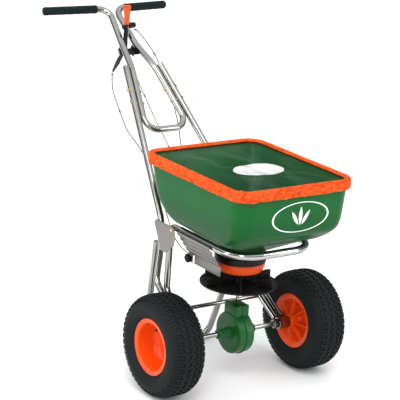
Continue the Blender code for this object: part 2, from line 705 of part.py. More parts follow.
RING_R = NECK_R + 0.003
RING_BORE = NECK_R - 0.0035
RING_Z = (0.411, NECK_Z - GAP)
TAB_W = 0.012
TAB_R = NECK_R + 0.018
TAB_ROOT = NECK_R - 0.010
CABLE_TO_TAB = 0.0065     # from a tab's end to the cable that pulls it
OPEN_TURN = math.radians(30)
TAB_TURN = math.radians(15)
port_ring = add("port_ring", *rod((0, 0, RING_Z[0]), (0, 0, RING_Z[1]), RING_R, 32, RING_BORE), "black")
plate_z = NECK_Z - 2 * RUN - PLATE_T
meter_z = plate_z - RUN - PLATE_T
slot = block((-0.036, RING_BORE - 0.0265, meter_z - 0.001), (0.036, TAB_R + 0.022, NECK_Z + 0.01))
boolean(port_ring, add("cut_ring_slot", *slot, "black"))


def tab(name, low, angle):
    """A lug that sticks out of a turning plate at one angle."""
    verts, faces = block((TAB_ROOT, -TAB_W / 2, low), (TAB_R, TAB_W / 2, low + PLATE_T))
    spin = Matrix.Rotation(angle, 3, "Z")
    return add(name, [spin @ Vector(v) for v in verts], faces, "black")


shut_body = body("shutoff_plate", (0, 0, plate_z))
meter_body = body("metering_ring", (0, 0, meter_z))
PLATE_R = RING_BORE - 2 * RUN
shut = add("shutoff_plate", *rod((0, 0, plate_z), (0, 0, plate_z + PLATE_T), PLATE_R, 32),
           "sheet", shut_body)
boolean(shut, tab("guide_shut_tab", plate_z, math.pi / 2 + TAB_TURN), "UNION")
boolean(shut, add("cut_shut_ports", *ports(OPEN_TURN), "black"))
skirt = RING_Z[0] - GAP - 0.0005
profile = [(meter_z + PLATE_T, 0), (meter_z + PLATE_T, PLATE_R), (skirt + 0.0005, PLATE_R),
           (skirt, RING_R - 0.002), (skirt - 0.020, RING_R - 0.002), (skirt - 0.0205, NECK_R - 0.008),
           (0.379, NECK_R - 0.010), (0.379, NECK_R - 0.014), (meter_z - 0.004, PLATE_R - 0.005),
           (meter_z, PLATE_R - 0.012), (meter_z, 0)]
meter = add("metering_ring", *lathe(profile, (0, 0, 0), UP, 32), "orange", meter_body)
boolean(meter, tab("guide_meter_tab", meter_z, math.pi / 2 - TAB_TURN), "UNION")
boolean(meter, add("cut_meter_ports", *ports(0), "black"))

# ---------------------------------------------------------------- cover
cover_body = body("hopper_cover", (0, (HOPPER_FRONT_Y + HOPPER_BACK_Y) / 2, HOPPER_RIM_Z))
HEM_BASE = HOPPER_RIM_Z - 0.022
hem_top = HEM_BASE + HEM_H


def rim_ring(offset, z):
    return rounded(z, HOPPER_HX + offset, HOPPER_FRONT_Y - offset, HOPPER_BACK_Y + offset, 0.050 + offset)


hem_shape = ((0.0008, HEM_BASE), (HEM_T + 0.0008, HEM_BASE), (HEM_T + 0.0015, hem_top - 0.006),
             (HEM_T - 0.003, hem_top), (-0.008, hem_top), (-0.011, hem_top - 0.007),
             (-0.008, HOPPER_RIM_Z + 0.0035), (0.0008, HOPPER_RIM_Z + 0.0035))
hem_rings = [rim_ring(o, z) for o, z in hem_shape]
add("cover_hem", *loft(hem_rings, closed=True), "fabric", cover_body)
film_z = HOPPER_RIM_Z + 0.0015
film = [rim_ring(0, film_z), rim_ring(0, film_z + FILM_T)]
add("cover_film", *loft(film), "film", cover_body)

# ---------------------------------------------------------------- side deflector
HINGE_XZ = (-0.170, 0.492)
LIP_XZ = (-0.120, 0.418)
LIP_Z = 0.388
GUARD_Y = (-0.064, 0.116)
LIP_BACK_Y = 0.080
TONGUE = (0.090, 0.385)   # the tongue that the knob clamps: its front in Y and its foot in Z
SHEET_T = 0.0016
guard_body = body("side_deflector", (HINGE_XZ[0], 0, HINGE_XZ[1]))
top_edge = Vector((HINGE_XZ[0], 0, HINGE_XZ[1]))
low_edge = Vector((LIP_XZ[0], 0, LIP_XZ[1]))
slope = (low_edge - top_edge).normalized()
outward = Vector((slope.z, 0, -slope.x))
if outward.x > 0:
    outward = -outward
spine = []
RIBS = 3
for k in range(RIBS):
    for share, rise in ((0.10, 0), (0.35, 0.003), (0.65, 0.003), (0.90, 0)):
        spine.append(top_edge.lerp(low_edge, (k + share) / RIBS) + outward * rise)
spine = [top_edge] + spine + [low_edge]
front = Vector((0, GUARD_Y[0], 0))
section = [p + front for p in spine] + [p + front + outward * SHEET_T for p in reversed(spine)]
guard = add("side_deflector", *prism(section, (0, GUARD_Y[1] - GUARD_Y[0], 0)), "sheet", guard_body)
lip_low = (LIP_XZ[0] - SHEET_T, GUARD_Y[0], LIP_Z)
lip = block(lip_low, (LIP_XZ[0], LIP_BACK_Y, LIP_XZ[1] + 0.0008))
tongue = block((LIP_XZ[0] - SHEET_T, *TONGUE), (LIP_XZ[0], GUARD_Y[1], LIP_XZ[1] + 0.0008))
boolean(guard, add("guide_lip", *merged(lip, tongue), "sheet", guard_body), "UNION")

KNOB_AT = Vector((LIP_XZ[0] - SHEET_T - RUN, 0.103, 0.4005))
knob_body = body("deflector_knob", KNOB_AT)
knob = [(-0.010, 0), (-0.010, 0.003), (0, 0.003), (0, 0.010), (0.004, 0.0145), (0.014, 0.0145),
        (0.018, 0.011), (0.018, 0)]
add("deflector_knob", *lathe(knob, KNOB_AT, (-1, 0, 0), 20), "black", knob_body)
boolean(guard, add("cut_knob", *rod(KNOB_AT - XAX * 0.01, KNOB_AT + XAX * 0.02, 0.003 + RUN, 12),
                   "black", guard_body))

# ---------------------------------------------------------------- hand controls
leg_dir = (Vector(GRIP_CORNER) - leg_top)
along = Vector((0, leg_dir.y, leg_dir.z)).normalized()
under = Vector((0, along.z, -along.y))
origin = Vector((0, LEG_HIGH[1], LEG_HIGH[2]))
PIVOT_DROP = 0.032
PIVOT_R = 0.004
pivot = origin + under * PIVOT_DROP


def local(x, d, n):
    """A point in the bracket's frame: across, up along the legs, and under them."""
    return XAX * x + origin + along * d + under * n


def slab(low, high):
    """A box in the bracket's frame."""
    verts, faces = block(low, high)
    return [local(*v) for v in verts], faces


seat_n = TUBE_R + GAP
bracket = add("lever_bracket", *slab((-0.040, -0.034, seat_n), (0.040, -0.006, seat_n + 0.0025)), "black")
cheeks = [slab(sorted((s * 0.0225, s * 0.025))[:1] + [-0.020, seat_n + 0.0005],
               sorted((s * 0.0225, s * 0.025))[1:] + [0.012, PIVOT_DROP + 0.009]) for s in (-1, 1)]
boolean(bracket, add("guide_cheeks", *merged(*cheeks), "black"), "UNION")
boolean(bracket, add("cut_bracket", *rod(pivot - XAX * 0.04, pivot + XAX * 0.04, PIVOT_R + GAP, 12),
                     "black"))
bolt("lever_pivot", pivot - XAX * (0.025 + GAP), XAX * (0.05 + 2 * GAP), "steel", None, PIVOT_R)

LEVER_TOP = Vector((0, 0.745, 1.096))
LEVER_T = 0.004
lever_body = body("shutoff_lever", pivot)
reach = LEVER_TOP - pivot
lever_up = reach.normalized()
lever_back = XAX.cross(lever_up)


def lever_slab(x0, x1, low, high, w_low, w_high, base=pivot):
    """A tapering bar up the lever: x0 to x1 across, low to high along, with two widths."""
    corners = [(low, -w_low), (low, w_low), (high, w_high), (high, -w_high)]
    outline = [base + lever_up * u + lever_back * v + XAX * x0 for u, v in corners]
    return prism(outline, XAX * (x1 - x0))


bar_top = 0.104
bar = add("shutoff_lever", *lever_slab(-LEVER_T / 2, LEVER_T / 2, -0.026, bar_top, 0.007, 0.006),
          "black", lever_body)
boolean(bar, add("cut_lever", *rod(pivot - XAX * 0.01, pivot + XAX * 0.01, PIVOT_R + RUN, 12),
                 "black", lever_body))
tip = reach.length
outline = [(-0.006, bar_top - 0.012), (0.006, bar_top - 0.012), (0.006, bar_top + 0.010), (0.012, tip),
           (-0.012, tip), (-0.006, bar_top + 0.010)]
handle_points = [pivot + lever_up * u + XAX * x - lever_back * 0.009 for x, u in outline]
cap = add("lever_grip", *prism(handle_points, lever_back * 0.018), "orange", lever_body)
socket = lever_slab(-LEVER_T / 2 - GAP, LEVER_T / 2 + GAP, bar_top - 0.03, bar_top + GAP, 0.008, 0.0063)
boolean(cap, add("cut_socket", *socket, "orange", lever_body))

guide_body = body("deflector_lever", pivot)
BALL = Vector((-0.0116, 0.739, 1.021))
BLADE_END = Vector((-0.009, 0.806, 0.851))
BLADE_T = 0.003
blade_x = BLADE_END.x - BLADE_T / 2
middle = Vector((blade_x, pivot.y, pivot.z))
tail = Vector((blade_x, BLADE_END.y, BLADE_END.z))
up_ball = (Vector((blade_x, BALL.y, BALL.z)) - middle).normalized()
ball_at = Vector((blade_x, BALL.y, BALL.z)) - up_ball * 0.008
upper = XAX.cross(up_ball)
lower = XAX.cross((middle - tail).normalized())
outline = [ball_at - upper * 0.004, ball_at + upper * 0.004, middle + upper * 0.0085,
           toward(middle, tail, 0.55) + lower * 0.010, tail + lower * 0.004, tail - lower * 0.004,
           toward(middle, tail, 0.55) - lower * 0.010, middle - upper * 0.0085]
blade = add("deflector_lever", *prism(outline, XAX * BLADE_T), "black", guide_body)
boolean(blade, add("cut_blade", *rod(pivot - XAX * 0.03, pivot, PIVOT_R + RUN, 12), "black", guide_body))
ball = [(0.009 * math.cos(a), 0.009 * math.sin(a)) for a in np.linspace(math.pi, 0, 9)]
ball = [(u, r) for u, r in ball if u > -0.0079]
ball = [(ball[0][0], 0)] + ball
ball_centre = ball_at + XAX * (BALL.x - blade_x) + up_ball * (GAP - ball[0][0])
add("deflector_lever_knob", *lathe(ball, ball_centre, up_ball, 14), "black", guide_body)

RATE_AT = Vector((0.046, 0.787, 1.016))
leg_there = toward(LEG_HIGH, GRIP_CORNER, (RATE_AT.y - LEG_HIGH[1]) / (GRIP_CORNER[1] - LEG_HIGH[1]))
clamp_low = (leg_there.x + TUBE_R + 0.0022, RATE_AT.y - 0.011, RATE_AT.z - 0.009)
clamp = add("rate_bracket", *block(clamp_low, (RATE_AT.x, RATE_AT.y + 0.009, RATE_AT.z + 0.009)), "black")
rate_body = body("rate_knob", RATE_AT)
dial = [(-0.003, 0), (-0.003, 0.003), (0.0006, 0.003), (0.0006, 0.010), (0.014, 0.009), (0.017, 0.006),
        (0.017, 0)]
add("rate_knob", *lathe(dial, RATE_AT, XAX, 16), "black", rate_body)
boolean(clamp, add("cut_rate", *rod(RATE_AT - XAX * 0.004, RATE_AT + XAX * 0.01, 0.003 + RUN, 12),
                   "black"))

# ---------------------------------------------------------------- control cables
CABLE_R = 0.0016


def tab_pull(side, low):
    """Where a cable ends, just past the end of a plate's tab."""
    angle = math.pi / 2 + side * TAB_TURN
    reach = TAB_R + CABLE_TO_TAB
    return (reach * math.cos(angle), reach * math.sin(angle), low + PLATE_T / 2)


cable("rate_cable", [(0.0545, 0.778, 1.0055 - 0.002), (0.060, 0.752, 0.993), (0.085, 0.690, 0.931),
                     (0.090, 0.618, 0.851), (0.088, 0.566, 0.790), (0.074, 0.500, 0.720),
                     (0.060, 0.457, 0.664), (0.045, 0.360, 0.560), (0.034, 0.250, 0.478),
                     (0.028, 0.150, 0.436), tab_pull(-1, meter_z)], CABLE_R)
cable("shutoff_cable", [pivot - lever_up * 0.0292, (0.010, 0.708, 0.879), (0.014, 0.630, 0.803),
                        (0.018, 0.544, 0.720), (0.016, 0.467, 0.662), (0.005, 0.360, 0.555),
                        (-0.010, 0.250, 0.478), (-0.022, 0.150, 0.440),
                        tab_pull(1, plate_z)], CABLE_R)
cable("deflector_cable", [(BLADE_END.x, 0.8085, 0.845), (-0.028, 0.775, 0.818), (-0.050, 0.727, 0.795),
                          (-0.080, 0.634, 0.755), (-0.104, 0.545, 0.714), (-0.102, 0.460, 0.668),
                          (-0.100, 0.370, 0.598), (-0.105, 0.290, 0.510), (-0.112, 0.210, 0.432),
                          (-0.110, 0.140, 0.405), (-0.108, 0.1005, 0.409)], CABLE_R)

# ---------------------------------------------------------------- origin
bpy.context.view_layer.update()
graph = bpy.context.evaluated_depsgraph_get()
low = Vector((1e9, 1e9, 1e9))
high = -low
for piece in bpy.data.objects:
    if piece.type in {"MESH", "CURVE"} and not piece.hide_render:
        real = piece.evaluated_get(graph)
        for vertex in real.to_mesh().vertices:
            spot = real.matrix_world @ vertex.co
            low = Vector(map(min, low, spot))
            high = Vector(map(max, high, spot))
        real.to_mesh_clear()
ROOT.location = (-(low.x + high.x) / 2, -(low.y + high.y) / 2, -low.z)
bpy.context.view_layer.update()
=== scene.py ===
# %% [markdown]
# # A walk-behind garden spreader
# This lesson dresses a finished mechanical frame of a push spreader with detailed surfaces. The frame
# holds every joint and size. Each cell below models one real piece, or one finish, the way a maker
# would think about it: what it is, how it could be made, and which way suits Blender best.

# %% Load the frame
import math
import bpy
from mathutils import Matrix, Vector, noise


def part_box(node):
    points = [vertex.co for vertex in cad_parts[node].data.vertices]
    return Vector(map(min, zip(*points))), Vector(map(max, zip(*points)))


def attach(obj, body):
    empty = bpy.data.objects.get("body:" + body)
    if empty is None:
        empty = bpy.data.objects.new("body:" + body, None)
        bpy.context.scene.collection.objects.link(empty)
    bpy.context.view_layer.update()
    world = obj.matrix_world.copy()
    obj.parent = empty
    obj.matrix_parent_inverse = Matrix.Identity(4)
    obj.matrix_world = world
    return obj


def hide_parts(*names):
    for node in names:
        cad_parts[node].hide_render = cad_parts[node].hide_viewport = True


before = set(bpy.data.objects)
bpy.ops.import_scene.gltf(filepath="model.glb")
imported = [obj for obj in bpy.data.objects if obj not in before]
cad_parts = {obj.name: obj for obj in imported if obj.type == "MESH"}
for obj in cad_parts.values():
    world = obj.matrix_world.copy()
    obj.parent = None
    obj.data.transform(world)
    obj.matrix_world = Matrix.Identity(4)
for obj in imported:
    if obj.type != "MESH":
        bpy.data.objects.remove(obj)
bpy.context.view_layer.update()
axle_low, axle_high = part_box("axle")
AXLE_Y = (axle_low[1] + axle_high[1]) / 2
AXLE_Z = (axle_low[2] + axle_high[2]) / 2
print(len(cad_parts), "nodes; the axle stands at", round(AXLE_Y, 4), round(AXLE_Z, 4))

# %% [markdown]
# ## Selecting and finishing
# Every operator acts on what is selected, so each piece starts from an empty selection. The machine is
# easiest to measure from the ground under its axle, so all numbers below count from there, and
# `settle` slides a finished mesh back to the frame's own origin, gives it its finish, and ties it to
# the body that it moves with.

# %% Small helpers
def deselect():
    if bpy.context.object and bpy.context.mode != "OBJECT":
        bpy.ops.object.mode_set(mode="OBJECT")
    bpy.ops.object.select_all(action="DESELECT")


def pick(piece):
    deselect()
    piece.select_set(True)
    bpy.context.view_layer.objects.active = piece
    return piece


def edit(action="SELECT"):
    """Enter edit mode with everything selected, or nothing."""
    bpy.ops.object.mode_set(mode="EDIT")
    bpy.ops.mesh.select_all(action=action)


def leave(outward=False):
    """Leave edit mode, with the faces turned outwards first if asked."""
    if outward:
        bpy.ops.mesh.normals_make_consistent(inside=False)
    bpy.ops.object.mode_set(mode="OBJECT")


def polygon(points, fill="NOTHING"):
    """A loop of edges through points, filled with one face if asked."""
    deselect()
    bpy.ops.mesh.primitive_circle_add(vertices=len(points), radius=1, fill_type=fill, location=(0, 0, 0))
    piece = bpy.context.object
    for vertex, place in zip(piece.data.vertices, points):
        vertex.co = place
    return piece


def applied(piece, kind, **settings):
    """Add a modifier, set it, and apply it at once."""
    pick(piece)
    step = piece.modifiers.new(kind.title(), kind)
    for name, value in settings.items():
        setattr(step, name, value)
    bpy.ops.object.modifier_apply(modifier=step.name)
    return piece


def softened(piece, width, segments=2, angle=35):
    """Round off the edges that are sharper than an angle."""
    return applied(piece, "BEVEL", width=width, segments=segments, limit_method="ANGLE",
                   angle_limit=math.radians(angle), use_clamp_overlap=True)


def combined(piece, other, operation="UNION"):
    applied(piece, "BOOLEAN", operation=operation, object=other, solver="EXACT")
    bpy.data.objects.remove(other, do_unlink=True)
    return piece


def joined(first, *others):
    pick(first)
    for other in others:
        other.select_set(True)
    bpy.ops.object.join()
    return first


def settle(piece, name, body, nodes, finish, angle=35):
    """Name a piece, slide it home, give it its finish, tie it to its body, and hide the nodes it replaces.
    """
    pick(piece)
    bpy.ops.object.transform_apply(location=True, rotation=True, scale=True)
    piece.data.transform(Matrix.Translation((0, AXLE_Y, 0)))
    bpy.ops.object.shade_smooth_by_angle(angle=math.radians(angle))
    piece.name = name
    piece.data.name = name
    piece.data.materials.clear()
    piece.data.materials.append(finish)
    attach(piece, body)
    if nodes:
        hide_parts(*nodes)
    print(f"{name}: {len(piece.data.polygons)} faces")
    return piece


# %% [markdown]
# ## Shader maths
# A finish is a Principled shader whose colour, roughness and bump vary over the surface. Written with
# node calls that is long and hard to read, so a small class wraps a socket: `noise * 0.2 + 0.3` then
# adds the two Math nodes by itself. Another class keeps one material's nodes together.

# %% Wrap a socket
class Wire:
    def __init__(self, finish, socket):
        self.finish = finish
        self.socket = socket

    def maths(self, operation, *values):
        return self.finish.make("ShaderNodeMath", {"operation": operation}, dict(enumerate(values)))

    def __add__(self, other):
        return self.maths("ADD", self, other)

    def __sub__(self, other):
        return self.maths("SUBTRACT", self, other)

    def __mul__(self, other):
        return self.maths("MULTIPLY", self, other)

    def __truediv__(self, other):
        return self.maths("DIVIDE", self, other)

    def __lt__(self, other):
        return self.maths("LESS_THAN", self, other)

    def __gt__(self, other):
        return self.maths("GREATER_THAN", self, other)


class Finish:
    def __init__(self, name, **sockets):
        self.material = bpy.data.materials.new(name)
        self.material.use_nodes = True
        self.tree = self.material.node_tree
        self.shader = self.tree.nodes["Principled BSDF"]
        for socket, value in sockets.items():
            self.give(self.shader.inputs[socket.replace("_", " ")], value)

    def give(self, socket, value):
        if isinstance(value, Wire):
            self.tree.links.new(value.socket, socket)
        elif isinstance(value, tuple) and socket.type == "RGBA":
            socket.default_value = (*value, 1) if len(value) == 3 else value
        else:
            socket.default_value = value

    def make(self, kind, settings=None, sockets=None, output=0):
        """One node: its type, its settings first, then its sockets, and the output to read."""
        node = self.tree.nodes.new(kind)
        for name, value in (settings or {}).items():
            setattr(node, name, value)
        for key, value in (sockets or {}).items():
            self.give(node.inputs[key], value)
        return Wire(self, node.outputs[output])

    def place(self):
        return self.make("ShaderNodeTexCoord", output="Object")

    def grain(self, scale, detail=3.0, rough=0.55, stretch=(1, 1, 1)):
        """Noise from 0 to 1 in the object's own metres, squeezed along an axis if asked."""
        where = self.make("ShaderNodeMapping", {}, {"Vector": self.place(), "Scale": stretch})
        return self.make("ShaderNodeTexNoise", {}, {"Vector": where, "Scale": scale, "Detail": detail,
                                                    "Roughness": rough})

    def cells(self, scale, feature="F1", output="Distance", stretch=(1, 1, 1)):
        where = self.make("ShaderNodeMapping", {}, {"Vector": self.place(), "Scale": stretch})
        return self.make("ShaderNodeTexVoronoi", {"feature": feature}, {"Vector": where, "Scale": scale},
                         output)

    def axes(self):
        where = self.place()
        return [self.make("ShaderNodeSeparateXYZ", {}, {0: where}, axis) for axis in (0, 1, 2)]

    def blend(self, share, first, second):
        """A colour between two others."""
        return self.make("ShaderNodeMix", {"data_type": "RGBA"}, {0: share, 6: first, 7: second}, 2)

    def clamped(self, value):
        return self.make("ShaderNodeClamp", {}, {0: value})

    def limits(self, value, low, high):
        """A value from 0 to 1 stretched between two limits."""
        return self.make("ShaderNodeMapRange", {}, {0: value, 3: low, 4: high})

    def colour(self, value):
        self.give(self.shader.inputs["Base Color"], value)

    def rough(self, value):
        self.give(self.shader.inputs["Roughness"], value)

    def relief(self, height, strength=0.3, depth=0.001):
        bump = self.make("ShaderNodeBump", {}, {"Strength": strength, "Distance": depth,
                                                "Height": height})
        self.give(self.shader.inputs["Normal"], bump)


# %% [markdown]
# ## Metals
# The tubes are plated steel: bright, with the fine drawn lines of the tube mill and a haze of handling
# marks. Noise squeezed along one axis draws those lines. The bent sheet is galvanised, so its zinc
# crystals show as faint cells, and the fasteners carry a yellow passivation over zinc.

# %% Make the metals
def plated(name, colour, low, high):
    finish = Finish(name, Metallic=1.0)
    haze = finish.grain(14, 4)
    lines = finish.grain(900, 2, 0.5, (1, 1, 0.06))
    finish.colour(finish.blend(finish.limits(haze, -0.3, 1.0), colour, tuple(c * 0.62 for c in colour)))
    finish.rough(finish.limits(haze * 0.6 + lines * 0.4, low, high))
    finish.relief(lines, 0.10, 0.0002)
    return finish.material


tube_steel = plated("drawn plated tube", (0.36, 0.35, 0.33), 0.08, 0.24)
loop_steel = plated("polished plated tube", (0.50, 0.50, 0.49), 0.07, 0.20)
axle_steel = plated("ground axle steel", (0.34, 0.325, 0.30), 0.14, 0.32)

sheet_finish = Finish("galvanised sheet", Metallic=0.75)
crystals = sheet_finish.cells(140, output="Color")
shade = sheet_finish.make("ShaderNodeSeparateColor", {}, {0: crystals}, 0)
stain = sheet_finish.grain(25, 5)
sheet_finish.colour(sheet_finish.blend(shade * 0.5 + stain * 0.5, (0.20, 0.19, 0.175), (0.31, 0.295, 0.27)))
sheet_finish.rough(sheet_finish.limits(stain * 0.5 + shade * 0.5, 0.34, 0.60))
sheet_finish.relief(sheet_finish.grain(420, 3), 0.12, 0.0004)
galvanised = sheet_finish.material

fastener = Finish("yellow passivated zinc", Metallic=1.0)
tint = fastener.grain(180, 3)
fastener.colour(fastener.blend(tint, (0.70, 0.46, 0.16), (0.80, 0.66, 0.38)))
fastener.rough(fastener.limits(tint, 0.22, 0.42))
yellow_zinc = fastener.material
print("metals:", len(bpy.data.materials))

# %% [markdown]
# ## Plastics and rubber
# The hopper is moulded in a soft green plastic with a fine orange-peel skin. The rims and rings are a
# bright orange plastic, a little more glossy. Black parts carry a spark-eroded grain, and dust from
# the granules settles on the spinner. A good plastic finish needs three things: a skin bump at the
# true scale, a roughness that wanders, and a colour that shifts a little from place to place.

# %% Make the plastics
def moulded(name, colour, low, high, skin=700, dust=0.0, coat=0.0, relief=0.12, shine=0.2):
    finish = Finish(name, Coat_Weight=coat, Coat_Roughness=0.2, Specular_IOR_Level=shine)
    cloud = finish.grain(9, 4)
    speckle = finish.grain(skin, 2, 0.6)
    shifted = finish.blend(finish.limits(cloud, 0, 1), tuple(c * 0.86 for c in colour),
                           tuple(min(c * 1.14 + 0.002, 1) for c in colour))
    if dust:
        specks = finish.cells(260) < 0.17
        patches = finish.grain(30, 3) > 0.48
        shifted = finish.blend(specks * patches * dust, shifted, (0.42, 0.42, 0.40))
    finish.colour(shifted)
    finish.rough(finish.limits(cloud * 0.7 + speckle * 0.3, low, high))
    finish.relief(speckle, relief, 0.0005)
    return finish.material


green_case = moulded("green gearbox plastic", (0.002, 0.088, 0.014), 0.28, 0.42, coat=0.15)
orange_moulding = moulded("orange rim plastic", (0.78, 0.070, 0.003), 0.22, 0.36, coat=0.12)
black_moulding = moulded("black grained plastic", (0.005, 0.0055, 0.006), 0.34, 0.50, 1400, relief=0.25)
spinner_black = moulded("black plastic with granule dust", (0.004, 0.0045, 0.005), 0.45, 0.65, 1200, 0.6,
                        shine=0.15)
foam = moulded("closed-cell foam", (0.006, 0.011, 0.012), 0.70, 0.90, 900, relief=0.8, shine=0.15)

rubber = Finish("tyre rubber", Specular_IOR_Level=0.18)
bloom = rubber.grain(22, 5)
rubber.colour(rubber.blend(bloom, (0.0035, 0.0060, 0.0065), (0.0085, 0.0120, 0.0125)))
rubber.rough(rubber.limits(bloom, 0.52, 0.78))
rubber.relief(rubber.grain(650, 3), 0.25, 0.0006)
tyre_rubber = rubber.material


def sheathing(name, colour):
    finish = Finish(name)
    finish.colour(finish.blend(finish.grain(60, 3), colour, tuple(c * 1.8 for c in colour)))
    finish.rough(finish.limits(finish.grain(300, 2), 0.35, 0.5))
    return finish.material


grey_sheath = sheathing("grey-green cable sheath", (0.060, 0.085, 0.085))
black_sheath = sheathing("black cable sheath", (0.010, 0.011, 0.012))
print("materials so far:", len(bpy.data.materials))

# %% [markdown]
# ## The hopper's plastic, with its badge
# The real hopper carries a printed oval on its front. A plain oval ring round three blades of grass
# stands in its place. The ring is drawn with maths: the distance from an oval's centre, measured on the
# front face only, is compared with two radii. Each blade is the overlap of two circles.

# %% Make the hopper's plastic
HOPPER_HX = 0.215
HOPPER_FRONT = -0.271
HOPPER_BACK = 0.254
RIM_Z = 0.716
BADGE = (0.018, 0.626)
BADGE_HALF = (0.108, 0.049)
hopper_finish = Finish("green hopper plastic", Coat_Weight=0.03, Coat_Roughness=0.2,
                       Specular_IOR_Level=0.14)
x, y, z = hopper_finish.axes()
across = (x - BADGE[0]) / BADGE_HALF[0]
up = (z - BADGE[1]) / BADGE_HALF[1]
oval = across * across + up * up
ring = (oval < 1.0) * (oval > 0.885)
facing = hopper_finish.make("ShaderNodeTexCoord", output="Normal")
facing_y = hopper_finish.make("ShaderNodeSeparateXYZ", {}, {0: facing}, 1)
front_face = (y < (HOPPER_FRONT + AXLE_Y + 0.028)) * (facing_y < -0.3)


def blade(x, z, centre, lean, half_height, half_width):
    """One leaf shape: inside two large circles that cross at its tip and its root."""
    radius = (half_height ** 2 + half_width ** 2) / (2 * half_width)
    local_x = (x - centre[0]) * math.cos(lean) + (z - centre[1]) * math.sin(lean)
    local_z = (z - centre[1]) * math.cos(lean) - (x - centre[0]) * math.sin(lean)
    right = local_x + (radius - half_width)
    left = local_x - (radius - half_width)
    inside_right = (right * right + local_z * local_z) < radius ** 2
    inside_left = (left * left + local_z * local_z) < radius ** 2
    return inside_right * inside_left


grass = blade(x, z, (BADGE[0], BADGE[1] + 0.004), 0, 0.030, 0.0065)
for lean, shift in ((0.55, 0.020), (-0.55, -0.020)):
    grass = grass + blade(x, z, (BADGE[0] - shift, BADGE[1] - 0.002), lean, 0.026, 0.006)
print_mask = (ring + grass) * front_face
print_mask = hopper_finish.clamped(print_mask)
cloud = hopper_finish.grain(7, 4)
plain = hopper_finish.blend(cloud, (0.0015, 0.086, 0.014), (0.004, 0.122, 0.022))
# Painted shade: the green darkens from 0.64 m down to 0.47 m, towards the funnel, where less light falls.
height = hopper_finish.clamped((z - 0.470) / 0.170)
plain = hopper_finish.blend(height, (0.0006, 0.036, 0.008), plain)
hopper_finish.colour(hopper_finish.blend(print_mask, plain, (0.86, 0.88, 0.86)))
skin = hopper_finish.grain(520, 2)
hopper_finish.rough(hopper_finish.limits(cloud * 0.6 + skin * 0.4, 0.24, 0.42))
hopper_finish.relief(skin, 0.10, 0.0005)
hopper_green = hopper_finish.material

# %% [markdown]
# ## Cloth and clear vinyl
# The cover is a clear vinyl sheet with an elastic cloth hem. The hem's weave is two crossing waves, too
# fine to see as threads from afar, but they break up the highlight as cloth does. The vinyl is nearly
# all transparent, with milky streaks of opacity painted as the pale highlights of its creases, and it
# carries a plain white oval.

# %% Make the cloth and the vinyl
cloth = Finish("orange gathered cloth", Specular_IOR_Level=0.12)
cx, cy, cz = cloth.axes()
warp = ((cx + cy) * 3900).maths("SINE", (cx + cy) * 3900)
weft = (cz * 3900).maths("SINE", cz * 3900)
soil = cloth.grain(60, 4)
creases = cloth.grain(52, 5, 0.62, (1, 1, 2.2))
# Painted shade: the orange darkens where this stretched noise stands for the shade in the hem's folds.
depth = cloth.clamped(cloth.limits(creases, -0.9, 1.9))
cloth.colour(cloth.blend(depth, (0.60, 0.046, 0.004), (0.98, 0.145, 0.022)))
cloth.rough(cloth.limits(soil, 0.62, 0.85))
cloth.relief(warp * 0.1 + weft * 0.1 + soil * 0.5 + creases * 2.0, 0.75, 0.0030)
hem_cloth = cloth.material

vinyl = Finish("clear vinyl", Specular_IOR_Level=0.6, Coat_Weight=0.5, Coat_Roughness=0.06)
vx, vy, _ = vinyl.axes()
patch_x = (vx - 0.018) / 0.088
patch_y = (vy - (AXLE_Y - 0.040)) / 0.062
patch = (patch_x * patch_x + patch_y * patch_y) < 1.0
haze = vinyl.grain(16, 5, 0.6, (1, 0.35, 1))
# Painted highlight: noise streaks of opacity stand for the pale highlights on the vinyl's creases.
crease_highlight = vinyl.limits(haze, -0.55, 0.55)
crease_highlight = vinyl.clamped(crease_highlight)
vinyl.colour(vinyl.blend(patch, (0.20, 0.27, 0.23), (0.88, 0.89, 0.88)))
vinyl.rough(vinyl.limits(haze, 0.03, 0.14))
vinyl.relief(vinyl.grain(30, 4, 0.6, (1, 0.22, 1)), 0.55, 0.004)
cover = vinyl.clamped(patch * 0.95 + crease_highlight * 0.30 + 0.04)
vinyl.give(vinyl.shader.inputs["Alpha"], cover)
clear_vinyl = vinyl.material
print("all materials:", len(bpy.data.materials))

# %% [markdown]
# ## The camera, the floor and the light
# The camera comes early, so that every later piece can be judged through it. It looks from the front
# right, a little above, through a long lens, with the slight tilt that a hand-held product shot has.
# A pale floor, three soft lamps and a weak sun give plated tubes something bright to mirror. The world
# is white above and dark near the horizon, which leaves the dark edges that make them read as metal.

# %% Place the camera
TURN, DIP, TILT = math.radians(35.14), math.radians(16.49), math.radians(3.57)
level_right = Vector((math.cos(TURN), -math.sin(TURN), 0))
heading = Vector((math.sin(TURN), math.cos(TURN), 0))
looking = heading * math.cos(DIP) - Vector((0, 0, math.sin(DIP)))
level_up = heading * math.sin(DIP) + Vector((0, 0, math.cos(DIP)))
right = level_right * math.cos(TILT) + level_up * math.sin(TILT)
above = level_up * math.cos(TILT) - level_right * math.sin(TILT)
bpy.ops.object.camera_add()
camera = bpy.context.object
camera.matrix_world = Matrix((right, above, -looking)).transposed().to_4x4()
camera.location = (-3.086, -4.142 + AXLE_Y, 2.127)
camera.data.lens = 153.4
camera.data.sensor_width = 36
bpy.context.scene.camera = camera

# %% Lay the floor and hang the lamps
floor_finish = Finish("pale studio floor", Roughness=0.9)
floor_finish.colour(floor_finish.blend(floor_finish.grain(3), (0.90, 0.90, 0.90), (0.94, 0.94, 0.94)))
bpy.ops.mesh.primitive_plane_add(size=60, location=(0, 0, 0))
floor = bpy.context.object
floor.name = "studio_floor"
floor.data.materials.append(floor_finish.material)

